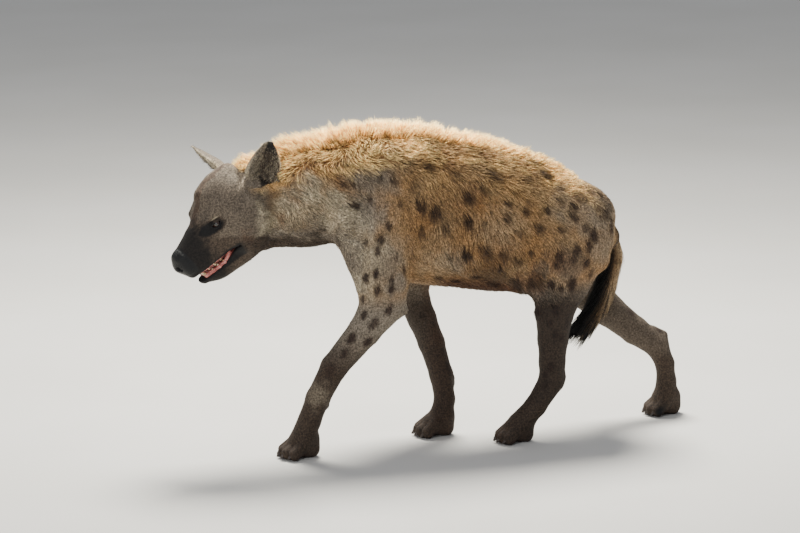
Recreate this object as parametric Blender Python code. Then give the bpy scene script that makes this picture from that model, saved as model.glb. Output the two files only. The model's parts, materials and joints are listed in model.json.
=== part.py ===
"""Spotted hyena walking with its head low, life size, as a still museum model.

The animal faces -X and its left side is -Y. The floor is Z = 0 and all sizes are metres.
The flesh is modelled whole, as muscles blended together on a grid, and is then parted into
its named pieces with thin cuts.
"""

import math
import random
from dataclasses import dataclass, field
from itertools import permutations

import bmesh
import bpy
import numpy as np
from mathutils import Matrix, Vector

# Clearance between pieces that touch
GAP = 0.0003

# Grid steps of the clay and the triangles that each moulding keeps
BODY_STEP = 0.0075
HEAD_STEP = 0.0027
PAW_STEP = 0.0034
BODY_TRIANGLES = 3900
HEAD_TRIANGLES = 3050
PAW_TRIANGLES = 330

# The head's own axes: forward along the mouth line, left, and up through the crown
HEAD_ORIGIN = Vector((-0.493, -0.011, 0.539))
HEAD_YAW = math.radians(10.0)
HEAD_PITCH = math.radians(38.0)

# Eyes, in head axes, and how the lids lie over them
EYE_RADIUS = 0.0125
EYE_PLACE = Vector((0.016, 0.0485, 0.104))
EYE_LOOKS = Vector((0.42, 0.90, 0.12))
LID_THICK = 0.0031

# Mouth: the line of the upper lip, the corner, and how far the front is open
LIP_LINE = 0.0225
MOUTH_CORNER = 0.010
MOUTH_OPEN = 0.0175
NOSE_CUT = 0.1305

# Teeth that show: place along the jaw, half the distance across, height and root radius
TEETH_LOWER = [
    (0.108, 0.0125, 0.0150, 0.0042),
    (0.088, 0.0215, 0.0085, 0.0044),
    (0.072, 0.0255, 0.0095, 0.0050),
    (0.055, 0.0290, 0.0080, 0.0050),
]
TEETH_UPPER = [
    (0.114, 0.0195, 0.0130, 0.0044),
    (0.096, 0.0265, 0.0060, 0.0042),
    (0.078, 0.0300, 0.0070, 0.0046),
]

# Ears, in head axes: where each is rooted, where its tip is and which way its cup opens
EAR_SPREAD = 0.043
EAR_STEP = 0.0024
EAR_TRIANGLES = 300
EAR_LEFT = {
    "root": Vector((-0.130, 0.060, 0.104)),
    "tip": Vector((-0.197, 0.118, 0.196)),
    "opens": Vector((0.10, 1.0, 0.05)),
}
EAR_RIGHT = {
    "root": Vector((-0.104, -0.052, 0.132)),
    "tip": Vector((-0.094, -0.118, 0.222)),
    "opens": Vector((0.93, -0.45, 0.02)),
}

# The ear's outside and the hollow of its cup: share of the height, front, back and width
EAR_OUTSIDE = [
    (-0.20, 0.012, -0.015, 0.74),
    (0.10, 0.013, -0.019, 0.98),
    (0.34, 0.010, -0.018, 1.02),
    (0.60, 0.006, -0.013, 0.84),
    (0.80, 0.003, -0.009, 0.58),
    (0.91, 0.001, -0.006, 0.36),
]
EAR_INSIDE = [
    (0.10, 0.040, -0.010, 0.58),
    (0.34, 0.040, -0.0135, 0.88),
    (0.60, 0.040, -0.0085, 0.71),
    (0.81, 0.040, -0.0045, 0.44),
]

# Outline of the trunk: place along the body, top, belly and half width
TRUNK = [
    (-0.225, 0.768, 0.540, 0.080),
    (-0.150, 0.784, 0.452, 0.108),
    (-0.050, 0.782, 0.414, 0.124),
    (0.080, 0.768, 0.391, 0.138),
    (0.190, 0.742, 0.375, 0.142),
    (0.290, 0.708, 0.375, 0.130),
    (0.380, 0.660, 0.412, 0.112),
    (0.450, 0.592, 0.450, 0.086),
    (0.490, 0.525, 0.475, 0.050),
]

# Outline of the skull and muzzle above the mouth, in head axes
SKULL = [
    (-0.135, 0.136, 0.012, 0.066),
    (-0.095, 0.168, -0.020, 0.078),
    (-0.057, 0.179, -0.030, 0.084),
    (-0.010, 0.167, -0.027, 0.078),
    (0.026, 0.145, -0.018, 0.062),
    (0.055, 0.124, -0.008, 0.049),
    (0.092, 0.105, 0.007, 0.041),
    (0.120, 0.096, 0.017, 0.036),
    (0.138, 0.091, 0.030, 0.026),
]

# Outline of the lower jaw, in head axes
JAW = [
    (-0.060, 0.030, -0.040, 0.060),
    (-0.010, 0.030, -0.049, 0.055),
    (0.040, 0.028, -0.044, 0.043),
    (0.085, 0.028, -0.036, 0.033),
    (0.116, 0.028, -0.019, 0.021),
]

# Limbs: place of each joint, then its half width across and half depth fore and aft
FORE_LEFT = [
    (-0.135, -0.060, 0.680, 0.050, 0.080),
    (-0.166, -0.086, 0.560, 0.060, 0.092),
    (-0.142, -0.100, 0.450, 0.050, 0.074),
    (-0.144, -0.104, 0.385, 0.045, 0.060),
    (-0.187, -0.101, 0.324, 0.040, 0.041),
    (-0.265, -0.092, 0.232, 0.033, 0.032),
    (-0.305, -0.083, 0.153, 0.029, 0.028),
    (-0.324, -0.073, 0.096, 0.027, 0.026),
    (-0.338, -0.065, 0.052, 0.034, 0.028),
]
FORE_RIGHT = [
    (-0.105, 0.060, 0.680, 0.050, 0.080),
    (-0.115, 0.086, 0.560, 0.060, 0.090),
    (-0.050, 0.100, 0.450, 0.050, 0.072),
    (-0.014, 0.100, 0.392, 0.045, 0.056),
    (0.002, 0.095, 0.352, 0.041, 0.043),
    (0.022, 0.085, 0.299, 0.037, 0.036),
    (0.045, 0.078, 0.236, 0.032, 0.032),
    (0.069, 0.070, 0.152, 0.029, 0.028),
    (0.075, 0.060, 0.090, 0.026, 0.023),
    (0.064, 0.053, 0.050, 0.034, 0.026),
]
HIND_LEFT = [
    (0.380, -0.060, 0.586, 0.068, 0.102),
    (0.355, -0.085, 0.480, 0.062, 0.098),
    (0.328, -0.097, 0.410, 0.054, 0.080),
    (0.310, -0.103, 0.335, 0.043, 0.051),
    (0.307, -0.102, 0.265, 0.035, 0.038),
    (0.306, -0.100, 0.205, 0.030, 0.032),
    (0.306, -0.097, 0.157, 0.028, 0.031),
    (0.266, -0.090, 0.092, 0.026, 0.024),
    (0.228, -0.082, 0.048, 0.033, 0.026),
]
HIND_RIGHT = [
    (0.395, 0.060, 0.572, 0.066, 0.098),
    (0.405, 0.086, 0.466, 0.060, 0.088),
    (0.440, 0.098, 0.372, 0.049, 0.062),
    (0.532, 0.097, 0.281, 0.037, 0.041),
    (0.600, 0.093, 0.225, 0.031, 0.035),
    (0.660, 0.089, 0.183, 0.028, 0.030),
    (0.682, 0.087, 0.134, 0.025, 0.022),
    (0.687, 0.086, 0.086, 0.024, 0.022),
    (0.681, 0.085, 0.050, 0.033, 0.025),
]

# Paws: middle of the sole, the way the toes point, length and width
PAWS = {
    "paw_front_left": (-0.346, -0.062, 8.0, 0.108, 0.088),
    "paw_front_right": (0.044, 0.050, 0.0, 0.106, 0.088),
    "paw_hind_left": (0.215, -0.079, 4.0, 0.100, 0.078),
    "paw_hind_right": (0.676, 0.084, 2.0, 0.096, 0.078),
}
PAW_TOP = 0.078
TOE_RADIUS = 0.0165
TOE_REACH = {-1.5: 0.27, -0.5: 0.365, 0.5: 0.365, 1.5: 0.27}
CLAW_LENGTH = 0.013

# Tail: points along its middle and how thick its core is
TAIL = [
    (0.480, 0.0, 0.560, 0.023, 0.024),
    (0.501, 0.0, 0.500, 0.020, 0.021),
    (0.502, 0.0, 0.440, 0.020, 0.022),
    (0.492, 0.0, 0.385, 0.020, 0.024),
    (0.474, 0.0, 0.340, 0.016, 0.022),
    (0.460, 0.0, 0.312, 0.009, 0.012),
]

# Mane: place along the crest, height of the skin, length of the hair, how far it leans back
MANE = [
    (-0.470, 0.716, 0.046, -52.0),
    (-0.420, 0.737, 0.054, -46.0),
    (-0.350, 0.752, 0.060, -38.0),
    (-0.260, 0.768, 0.062, -24.0),
    (-0.160, 0.778, 0.062, -6.0),
    (-0.050, 0.776, 0.056, 12.0),
    (0.060, 0.764, 0.052, 26.0),
    (0.170, 0.741, 0.048, 42.0),
    (0.260, 0.712, 0.044, 54.0),
    (0.340, 0.676, 0.040, 62.0),
]
MANE_SPREAD = 0.017
MANE_STEP = 0.0178
LOCK_WIDTH = 0.044
LOCK_THICK = 0.0075

# Tail locks: share of the way down, number round the tail, length
TAIL_TIERS = [
    (0.26, 4, 0.105),
    (0.46, 5, 0.110),
    (0.64, 5, 0.110),
    (0.82, 5, 0.090),
]

# Thin cuts between the nodes of flesh: a point of each plane and the way it faces
HEAD_CUT = (Vector((-0.412, 0.0, 0.640)), Vector((-0.97, 0.0, 0.243)))
NECK_CUT = (Vector((-0.264, 0.0, 0.550)), Vector((-0.985, 0.0, 0.172)))
FORE_LEFT_CUT = (Vector((-0.140, 0.0, 0.408)), Vector((-0.12, 0.0, -1.0)))
FORE_RIGHT_CUT = (Vector((0.000, 0.0, 0.393)), Vector((-0.12, 0.0, -1.0)))
HIND_CUT = (Vector((0.240, 0.0, 0.350)), Vector((0.36, 0.0, -1.0)))
FORE_LIMIT = 0.118
MIDDLE_LEFT = (Vector((0.0, 0.0, 0.0)), Vector((0.0, -1.0, 0.0)))
MIDDLE_RIGHT = (Vector((0.0, 0.0, 0.0)), Vector((0.0, 1.0, 0.0)))


def head_frame():
    """The matrix from head axes to the model's axes."""
    forward = Vector((-math.cos(HEAD_YAW) * math.cos(HEAD_PITCH),
                      -math.sin(HEAD_YAW) * math.cos(HEAD_PITCH), -math.sin(HEAD_PITCH)))
    left = Vector((math.sin(HEAD_YAW), -math.cos(HEAD_YAW), 0.0))
    crown = forward.cross(left)
    frame = Matrix((forward, left, crown)).transposed().to_4x4()
    frame.translation = HEAD_ORIGIN
    return frame


HEAD = head_frame()
WORLD = Matrix.Identity(4)


@dataclass
class Muscle:
    """A tapered bundle between two points, oval in section and round at its ends."""

    start: tuple
    end: tuple
    start_size: tuple
    end_size: tuple
    blend: float = 0.02
    side: tuple = (0.0, 1.0, 0.0)
    frame: Matrix = field(default_factory=lambda: WORLD)

    def reach(self):
        """The lowest and highest corner of the bundle in the model's axes."""
        ends = np.array([self.frame @ Vector(self.start), self.frame @ Vector(self.end)])
        size = max(*self.start_size, *self.end_size)
        return ends.min(axis=0) - size, ends.max(axis=0) + size

    def distance(self, points):
        """How far each point, in the bundle's own axes, lies outside it."""
        start, end = np.array(self.start, float), np.array(self.end, float)
        along = end - start
        length = max(np.linalg.norm(along), 1e-6)
        along = along / length
        side = np.array(self.side, float)
        side = side - (side @ along) * along
        side = side / np.linalg.norm(side)
        deep = np.cross(along, side)
        offset = points - start
        share = np.clip(offset @ along / length, 0.0, 1.0)
        offset = offset - share[..., None] * along * length
        wide = self.start_size[0] + (self.end_size[0] - self.start_size[0]) * share
        tall = self.start_size[1] + (self.end_size[1] - self.start_size[1]) * share
        thin = np.minimum(wide, tall)
        parts = (offset @ side, offset @ deep, offset @ along)
        return oval_distance(parts, (wide, tall, thin))


@dataclass
class Barrel:
    """A form along its frame's first axis, with a top, a bottom and a half width at each station."""

    stations: list
    square: float = 2.0
    end: float = 0.03
    blend: float = 0.02
    frame: Matrix = field(default_factory=lambda: WORLD)

    def reach(self):
        """The lowest and highest corner of the form in the model's axes."""
        corners = []
        for along, top, bottom, wide in self.stations:
            for side in (-wide, wide):
                corners += [Vector((along, side, top)), Vector((along, side, bottom))]
        corners = np.array([self.frame @ corner for corner in corners])
        return corners.min(axis=0) - self.end, corners.max(axis=0) + self.end

    def distance(self, points):
        """How far each point, in the form's own axes, lies outside it."""
        along = points[..., 0]
        stations = np.array(self.stations)
        top, bottom, wide = (smooth_line(stations[:, 0], stations[:, i], along) for i in (1, 2, 3))
        beyond = along - np.clip(along, stations[0, 0], stations[-1, 0])
        tall = (top - bottom) / 2
        parts = (points[..., 1], points[..., 2] - (top + bottom) / 2, beyond)
        return oval_distance(parts, (wide, tall, self.end), self.square)


def oval_distance(parts, radii, square=2.0):
    """A good estimate of the distance to an oval with these radii, square being its roundness."""
    scaled = [np.abs(part) / radius for part, radius in zip(parts, radii)]
    level = (scaled[0] ** square + scaled[1] ** square) ** (2.0 / square) + scaled[2] ** 2
    slope = sum((part / radius ** 2) ** 2 for part, radius in zip(parts, radii))
    level = np.sqrt(level)
    thin = np.minimum(np.minimum(radii[0], radii[1]), radii[2])
    steep = np.where(slope > 1e-9, level / np.sqrt(np.maximum(slope, 1e-9)), thin)
    return np.where(level > 0.3, steep * (level - 1.0), -thin * (1.0 - level))


def smooth_line(places, values, at):
    """A smooth curve through the values, level past its two ends."""
    slopes = np.gradient(values, places)
    index = np.clip(np.searchsorted(places, at) - 1, 0, len(places) - 2)
    span = places[index + 1] - places[index]
    t = np.clip((at - places[index]) / span, 0.0, 1.0)
    rise = (2 * t ** 3 - 3 * t ** 2 + 1) * values[index] + (3 * t ** 2 - 2 * t ** 3) * values[index + 1]
    bend = (t ** 3 - 2 * t ** 2 + t) * slopes[index] + (t ** 3 - t ** 2) * slopes[index + 1]
    return rise + bend * span


class Clay:
    """A block of clay on a grid, negative inside, that muscles are pressed onto or cut from."""

    def __init__(self, low, high, step):
        self.low, self.step = np.array(low, float), step
        self.shape = tuple(int(n) for n in np.ceil((np.array(high) - self.low) / step) + 1)
        self.value = np.full(self.shape, 1.0)

    def press(self, form, carve=False):
        """Blends a form into the clay, or carves it out."""
        low, high = form.reach()
        margin = form.blend + 3 * self.step
        first = np.clip(np.floor((low - margin - self.low) / self.step).astype(int), 0, self.shape)
        last = np.clip(np.ceil((high + margin - self.low) / self.step).astype(int) + 1, 0, self.shape)
        if (first >= last).any():
            return
        block = tuple(slice(a, b) for a, b in zip(first, last))
        axes = [self.low[i] + self.step * np.arange(first[i], last[i]) for i in range(3)]
        points = np.stack(np.meshgrid(*axes, indexing="ij"), axis=-1)
        back = np.array(form.frame.inverted())
        points = points @ back[:3, :3].T + back[:3, 3]
        found, old = form.distance(points), self.value[block]
        if carve:
            found, old = -found, old
            near = np.maximum(form.blend - np.abs(old - found), 0.0) / form.blend
            self.value[block] = np.maximum(old, found) + near ** 2 * form.blend / 4
        else:
            near = np.maximum(form.blend - np.abs(old - found), 0.0) / form.blend
            self.value[block] = np.minimum(old, found) - near ** 2 * form.blend / 4

    def surface(self):
        """The clay's surface as points and triangles that point out, closed where the block ends."""
        value = np.pad(self.value[1:-1, 1:-1, 1:-1], 1, constant_values=self.step)
        number = np.arange(value.size).reshape(value.shape)
        cells = tuple(n - 1 for n in value.shape)
        inside = value < 0
        corners = [(i, j, k) for i in (0, 1) for j in (0, 1) for k in (0, 1)]
        count = sum(inside[tuple(slice(c, c + n) for c, n in zip(corner, cells))].astype(np.int8)
                    for corner in corners)
        found = np.argwhere((count > 0) & (count < 8))
        flat, faces = value.ravel(), []
        for order in permutations(range(3)):
            path = [np.zeros(3, int)]
            for axis in order:
                path.append(path[-1] + (np.arange(3) == axis))
            corner = np.stack([number[tuple((found + step).T)] for step in path], axis=1)
            within = flat[corner] < 0
            faces += self.cut_corners(corner, within, parity(order))
        edges = np.concatenate(faces)
        low, high = edges.min(axis=2), edges.max(axis=2)
        keys, index = np.unique(low.astype(np.int64) * value.size + high, return_inverse=True)
        low, high = keys // value.size, keys % value.size
        share = np.clip(flat[low] / (flat[low] - flat[high]), 0.08, 0.92)[:, None]
        start = np.stack(np.unravel_index(low, value.shape), axis=1)
        end = np.stack(np.unravel_index(high, value.shape), axis=1)
        return self.low + self.step * (start + share * (end - start)), index.reshape(-1, 3)

    @staticmethod
    def cut_corners(corner, within, sign):
        """The triangles across each tetrahedron, every point being the edge between two corners."""
        faces = []
        for picked in range(1, 15):
            chosen = [i for i in range(4) if picked >> i & 1]
            others = [i for i in range(4) if i not in chosen]
            rows = (within == [i in chosen for i in range(4)]).all(axis=1)
            if not rows.any():
                continue
            few, many = (chosen, others) if len(chosen) < 3 else (others, chosen)
            turned = sign * parity(few + many) * (1 if len(chosen) < 3 else -1)
            if len(few) == 1:
                rings = [[(few[0], i) for i in many]]
            else:
                (a, b), (c, d) = few, many
                rings = [[(a, c), (a, d), (b, d)], [(a, c), (b, d), (b, c)]]
            for ring in rings:
                made = np.stack([corner[rows][:, list(edge)] for edge in ring], axis=1)
                faces.append(made if turned > 0 else made[:, ::-1])
        return faces


def parity(order):
    """1 for an even order of numbers and -1 for an odd one."""
    swaps = sum(1 for i in range(len(order)) for j in range(i) if order[j] > order[i])
    return -1 if swaps % 2 else 1


def mesh_object(name, points, faces):
    """A new mesh object from points and faces."""
    mesh = bpy.data.meshes.new(name)
    mesh.from_pydata([tuple(p) for p in points], [], [tuple(int(i) for i in f) for f in faces])
    made = bpy.data.objects.new(name, mesh)
    bpy.context.scene.collection.objects.link(made)
    return made


def apply_modifiers(thing):
    """Replaces an object's mesh by what its modifiers make of it."""
    bpy.context.view_layer.update()
    graph = bpy.context.evaluated_depsgraph_get()
    mesh = bpy.data.meshes.new_from_object(thing.evaluated_get(graph))
    old = thing.data
    thing.modifiers.clear()
    thing.data = mesh
    bpy.data.meshes.remove(old)
    return thing


def remove(thing):
    """Deletes an object that was only a tool."""
    bpy.data.objects.remove(thing, do_unlink=True)


def largest_shell(thing):
    """Keeps only the largest closed surface of a mesh."""
    shape = bmesh.new()
    shape.from_mesh(thing.data)
    left, shells = set(shape.verts), []
    while left:
        shell, front = set(), [left.pop()]
        while front:
            vert = front.pop()
            shell.add(vert)
            for edge in vert.link_edges:
                other = edge.other_vert(vert)
                if other in left:
                    left.discard(other)
                    front.append(other)
        shells.append(shell)
    shells.sort(key=box_size, reverse=True)
    for shell in shells[1:]:
        bmesh.ops.delete(shape, geom=list(shell), context="VERTS")
    shape.to_mesh(thing.data)
    shape.free()
    return thing


def box_size(verts):
    """The volume of the box round some vertices."""
    places = np.array([vert.co for vert in verts])
    return float(np.prod(places.max(axis=0) - places.min(axis=0) + 1e-6))


def boolean(thing, other, operation, solver="EXACT"):
    """Applies one Boolean with another object, which stays."""
    step = thing.modifiers.new(operation, "BOOLEAN")
    step.object = other
    step.operation = operation
    step.solver = solver
    apply_modifiers(thing)
    return largest_shell(thing)


def copy_of(thing, name):
    """A copy of an object with its own mesh."""
    made = bpy.data.objects.new(name, thing.data.copy())
    bpy.context.scene.collection.objects.link(made)
    return made


def region(planes, grow=0.0):
    """A large convex solid in front of all these planes, grown by a small margin."""
    shape = bmesh.new()
    bmesh.ops.create_cube(shape, size=4.0)
    for place, facing in planes:
        facing = facing.normalized()
        geometry = list(shape.verts) + list(shape.edges) + list(shape.faces)
        cut = bmesh.ops.bisect_plane(shape, geom=geometry, plane_co=place - facing * grow,
                                     plane_no=facing, clear_inner=True)
        rim = [edge for edge in cut["geom_cut"] if isinstance(edge, bmesh.types.BMEdge)]
        bmesh.ops.contextual_create(shape, geom=rim)
    bmesh.ops.recalc_face_normals(shape, faces=shape.faces)
    mesh = bpy.data.meshes.new("region")
    shape.to_mesh(mesh)
    shape.free()
    made = bpy.data.objects.new("region", mesh)
    bpy.context.scene.collection.objects.link(made)
    return made


def kept_in(thing, name, planes):
    """The part of an object in front of all these planes, as a new object."""
    made, cutter = copy_of(thing, name), region(planes)
    boolean(made, cutter, "INTERSECT")
    remove(cutter)
    return made


def cleared_of(thing, planes):
    """Takes away what lies in front of all these planes, and the gap before it."""
    cutter = region(planes, grow=GAP)
    boolean(thing, cutter, "DIFFERENCE")
    remove(cutter)
    return thing


def moulded(name, clay, triangles):
    """The clay's surface, smoothed a little and brought down to a number of triangles."""
    made = mesh_object(name, *clay.surface())
    largest_shell(made)
    smooth = made.modifiers.new("smooth", "SMOOTH")
    smooth.factor, smooth.iterations = 0.5, 2
    apply_modifiers(made)
    fewer = made.modifiers.new("fewer", "DECIMATE")
    fewer.ratio = triangles / len(made.data.polygons)
    fewer.use_collapse_triangulate = True
    return apply_modifiers(made)


def limb(chain, blend=0.02):
    """The muscles of a leg, one between each joint and the next."""
    muscles = []
    for upper, lower in zip(chain, chain[1:]):
        muscles.append(Muscle(upper[:3], lower[:3], upper[3:], lower[3:], blend))
    return muscles


def leg_details():
    """Elbows, hocks, knees and the pads behind the wrists."""
    return [
        Muscle((-0.112, -0.104, 0.385), (-0.088, -0.104, 0.368), (0.022, 0.030), (0.014, 0.016)),
        Muscle((0.020, 0.100, 0.400), (0.038, 0.098, 0.385), (0.022, 0.030), (0.014, 0.016)),
        Muscle((0.322, -0.097, 0.205), (0.331, -0.096, 0.166), (0.010, 0.012), (0.014, 0.014), 0.012),
        Muscle((0.650, 0.089, 0.222), (0.678, 0.089, 0.208), (0.011, 0.013), (0.013, 0.014), 0.012),
        Muscle((-0.288, -0.080, 0.143), (-0.283, -0.079, 0.133), (0.013, 0.013), (0.010, 0.010), 0.010),
        Muscle((0.094, 0.070, 0.140), (0.097, 0.069, 0.128), (0.012, 0.012), (0.009, 0.009), 0.010),
    ]


def trunk_details():
    """Shoulder blades, breast, flanks and buttocks, which round the trunk out."""
    muscles = [
        Barrel(TRUNK, square=2.25, end=0.025),
        Muscle((-0.190, 0.0, 0.600), (-0.152, 0.0, 0.492), (0.070, 0.048), (0.060, 0.042), 0.04),
        Muscle((-0.130, 0.0, 0.730), (-0.020, 0.0, 0.735), (0.070, 0.050), (0.075, 0.045), 0.04),
    ]
    for side in (-1, 1):
        muscles += [
            Muscle((-0.110, 0.052 * side, 0.735), (-0.185, 0.082 * side, 0.560),
                   (0.030, 0.055), (0.036, 0.060), 0.04),
            Muscle((0.442, 0.040 * side, 0.556), (0.430, 0.062 * side, 0.460),
                   (0.048, 0.048), (0.046, 0.046), 0.04),
            Muscle((0.235, 0.085 * side, 0.420), (0.300, 0.100 * side, 0.400),
                   (0.030, 0.030), (0.032, 0.036), 0.05),
        ]
    return muscles


def neck_muscles():
    """The neck from the shoulders to the skull, deep and rather flat."""
    return [
        Muscle((-0.200, 0.0, 0.655), (-0.310, 0.0, 0.648), (0.102, 0.126), (0.090, 0.117), 0.05),
        Muscle((-0.310, 0.0, 0.648), (-0.425, -0.003, 0.634), (0.090, 0.117), (0.080, 0.106), 0.05),
        Muscle((-0.300, 0.0, 0.572), (-0.430, -0.004, 0.562), (0.042, 0.036), (0.044, 0.034), 0.04),
    ]


def head_forms():
    """Skull, jaw, cheeks, brows, lips and the pads of the muzzle, in head axes."""
    forms = [
        Barrel(SKULL, square=2.3, end=0.014, blend=0.02, frame=HEAD),
        Barrel(JAW, square=2.4, end=0.016, blend=0.010, frame=HEAD),
        Muscle((-0.100, 0.0, 0.164), (-0.012, 0.0, 0.160), (0.024, 0.018), (0.026, 0.013), 0.03,
               frame=HEAD),
        Muscle((0.070, 0.0, 0.098), (0.128, 0.0, 0.080), (0.021, 0.018), (0.020, 0.016), 0.02,
               frame=HEAD),
        Muscle((0.128, 0.0, 0.073), (0.139, 0.0, 0.064), (0.0245, 0.024), (0.021, 0.021), 0.010,
               frame=HEAD),
    ]
    for side in (-1, 1):
        across = (0.0, 1.0, 0.0)
        forms += [
            # cheek
            Muscle((-0.065, 0.055 * side, 0.060), (-0.030, 0.052 * side, 0.010),
                   (0.034, 0.046), (0.030, 0.040), 0.03, across, HEAD),
            # cheekbone
            Muscle((-0.085, 0.068 * side, 0.096), (0.010, 0.052 * side, 0.082),
                   (0.018, 0.016), (0.014, 0.014), 0.02, across, HEAD),
            # brow
            Muscle((-0.012, 0.048 * side, 0.132), (0.028, 0.040 * side, 0.124),
                   (0.016, 0.012), (0.013, 0.010), 0.014, across, HEAD),
            # upper lip and whisker pad
            Muscle((0.050, 0.036 * side, 0.040), (0.132, 0.021 * side, 0.046),
                   (0.015, 0.022), (0.017, 0.024), 0.014, across, HEAD),
            # root of the ear
            Muscle((-0.112, 0.050 * side, 0.104), (-0.090, 0.040 * side, 0.100),
                   (0.027, 0.027), (0.034, 0.036), 0.03, across, HEAD),
        ]
    return forms


def lid_forms():
    """The rims of the upper and lower lids, round each eye, in head axes."""
    forms = []
    for side in (-1, 1):
        centre = Vector((EYE_PLACE.x, EYE_PLACE.y * side, EYE_PLACE.z))
        looks = Vector((EYE_LOOKS.x, EYE_LOOKS.y * side, EYE_LOOKS.z)).normalized()
        across = Vector((0.0, 0.0, 1.0)).cross(looks).normalized()
        if across.x < 0:
            across = -across
        up = looks.cross(across) if looks.cross(across).z > 0 else across.cross(looks)
        for raised, lift, share in ((1, 0.0092, 0.80), (-1, 0.0086, 0.80)):
            rim = []
            for i in range(5):
                turn = math.pi * i / 4
                along = across * (0.0138 * math.cos(turn))
                rise = up * (raised * lift * math.sin(turn) - 0.0024 * math.cos(turn))
                out = looks * (EYE_RADIUS * share * math.cos(0.75 * math.cos(turn)) + 0.0008)
                rim.append(centre + along + rise + out)
            for start, end in zip(rim, rim[1:]):
                forms.append(Muscle(tuple(start), tuple(end), (LID_THICK, LID_THICK),
                                    (LID_THICK, LID_THICK), 0.004, tuple(up), HEAD))
    return forms


def head_hollows():
    """What is carved from the head: eye sockets, the open mouth and the nostrils."""
    hollows = [
        Barrel([(MOUTH_CORNER, LIP_LINE + 0.0005, LIP_LINE - 0.0015, 0.12),
                (MOUTH_CORNER + 0.040, LIP_LINE + 0.001, LIP_LINE - 0.0135, 0.12),
                (MOUTH_CORNER + 0.085, LIP_LINE + 0.001, LIP_LINE - MOUTH_OPEN, 0.12),
                (0.190, LIP_LINE + 0.001, LIP_LINE - MOUTH_OPEN, 0.12)],
               square=6.0, end=0.004, blend=0.004, frame=HEAD),
    ]
    for side in (-1, 1):
        hollows += [
            Muscle((0.050, 0.066 * side, 0.097), (0.022, 0.064 * side, 0.104),
                   (0.014, 0.012), (0.016, 0.012), 0.014, (0.0, 1.0, 0.0), HEAD),
            Muscle((0.166, 0.0115 * side, 0.066), (0.144, 0.0130 * side, 0.068),
                   (0.0058, 0.0062), (0.0042, 0.0048), 0.003, (0.0, 1.0, 0.0), HEAD),
            Muscle((0.152, 0.0180 * side, 0.060), (0.140, 0.0225 * side, 0.066),
                   (0.0030, 0.0030), (0.0022, 0.0024), 0.003, (0.0, 1.0, 0.0), HEAD),
        ]
    return hollows


def paw_forms(name):
    """The pads, toes and instep of one paw, with the toes pointing along its heading."""
    x, y, turn, length, width = PAWS[name]
    frame = Matrix.Translation((x, y, 0.0)) @ Matrix.Rotation(math.pi + math.radians(turn), 4, "Z")
    forms = [
        Muscle((-0.26 * length, 0.0, 0.020), (0.05 * length, 0.0, 0.024),
               (0.36 * width, 0.024), (0.40 * width, 0.022), 0.012, frame=frame),
        Muscle((-0.24 * length, 0.0, 0.046), (0.10 * length, 0.0, 0.036),
               (0.33 * width, 0.026), (0.34 * width, 0.020), 0.016, frame=frame),
    ]
    for place, forward in TOE_REACH.items():
        across = place * width * 0.245
        forms.append(Muscle((0.02 * length, across * 0.80, 0.036),
                            (forward * length, across, 0.0155),
                            (TOE_RADIUS * 0.92, 0.018), (TOE_RADIUS * 0.90, 0.0165), 0.0045,
                            frame=frame))
    return forms


def claws(name):
    """The blunt claws of one paw, which point forward and down."""
    x, y, turn, length, width = PAWS[name]
    frame = Matrix.Translation((x, y, 0.0)) @ Matrix.Rotation(math.pi + math.radians(turn), 4, "Z")
    made = []
    for place, forward in TOE_REACH.items():
        across = place * width * 0.245
        root = Vector((forward * length + 0.008, across, 0.0185))
        tip = root + Vector((CLAW_LENGTH, 0.0, -0.0135))
        made.append(cone(frame @ root, frame @ tip, 0.0052, 0.0018, 6))
    return made


def cone(root, tip, root_radius, tip_radius, sides):
    """A closed tapered peg between two points."""
    shape = bmesh.new()
    bmesh.ops.create_cone(shape, cap_ends=True, segments=sides, radius1=root_radius,
                          radius2=tip_radius, depth=(tip - root).length)
    turn = (tip - root).to_track_quat("Z", "Y").to_matrix().to_4x4()
    bmesh.ops.transform(shape, matrix=Matrix.Translation((root + tip) / 2) @ turn, verts=shape.verts)
    mesh = bpy.data.meshes.new("peg")
    shape.to_mesh(mesh)
    shape.free()
    made = bpy.data.objects.new("peg", mesh)
    bpy.context.scene.collection.objects.link(made)
    return made


def fused(name, base, pieces, solver="EXACT"):
    """Joins small closed pieces to the node that they grow from."""
    group = bpy.data.collections.new(name + "_pieces")
    bpy.context.scene.collection.children.link(group)
    for piece in pieces:
        bpy.context.scene.collection.objects.unlink(piece)
        group.objects.link(piece)
    union = base.modifiers.new("union", "BOOLEAN")
    union.operand_type = "COLLECTION"
    union.collection = group
    union.operation = "UNION"
    union.solver = solver
    apply_modifiers(base)
    for piece in pieces:
        remove(piece)
    bpy.data.collections.remove(group)
    base.name = name
    return largest_shell(base)


def ball(place, radius, segments=14, rings=8):
    """A closed round ball."""
    shape = bmesh.new()
    bmesh.ops.create_uvsphere(shape, u_segments=segments, v_segments=rings, radius=radius)
    bmesh.ops.transform(shape, matrix=Matrix.Translation(place), verts=shape.verts)
    mesh = bpy.data.meshes.new("ball")
    shape.to_mesh(mesh)
    shape.free()
    made = bpy.data.objects.new("ball", mesh)
    bpy.context.scene.collection.objects.link(made)
    return made


def ear_frame(ear):
    """The matrix from one ear's own axes, which are up, across and out of the cup."""
    up = (ear["tip"] - ear["root"]).normalized()
    opens = (ear["opens"] - ear["opens"].dot(up) * up).normalized()
    frame = Matrix((up, opens.cross(up), opens)).transposed().to_4x4()
    frame.translation = ear["root"]
    return HEAD @ frame


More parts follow.
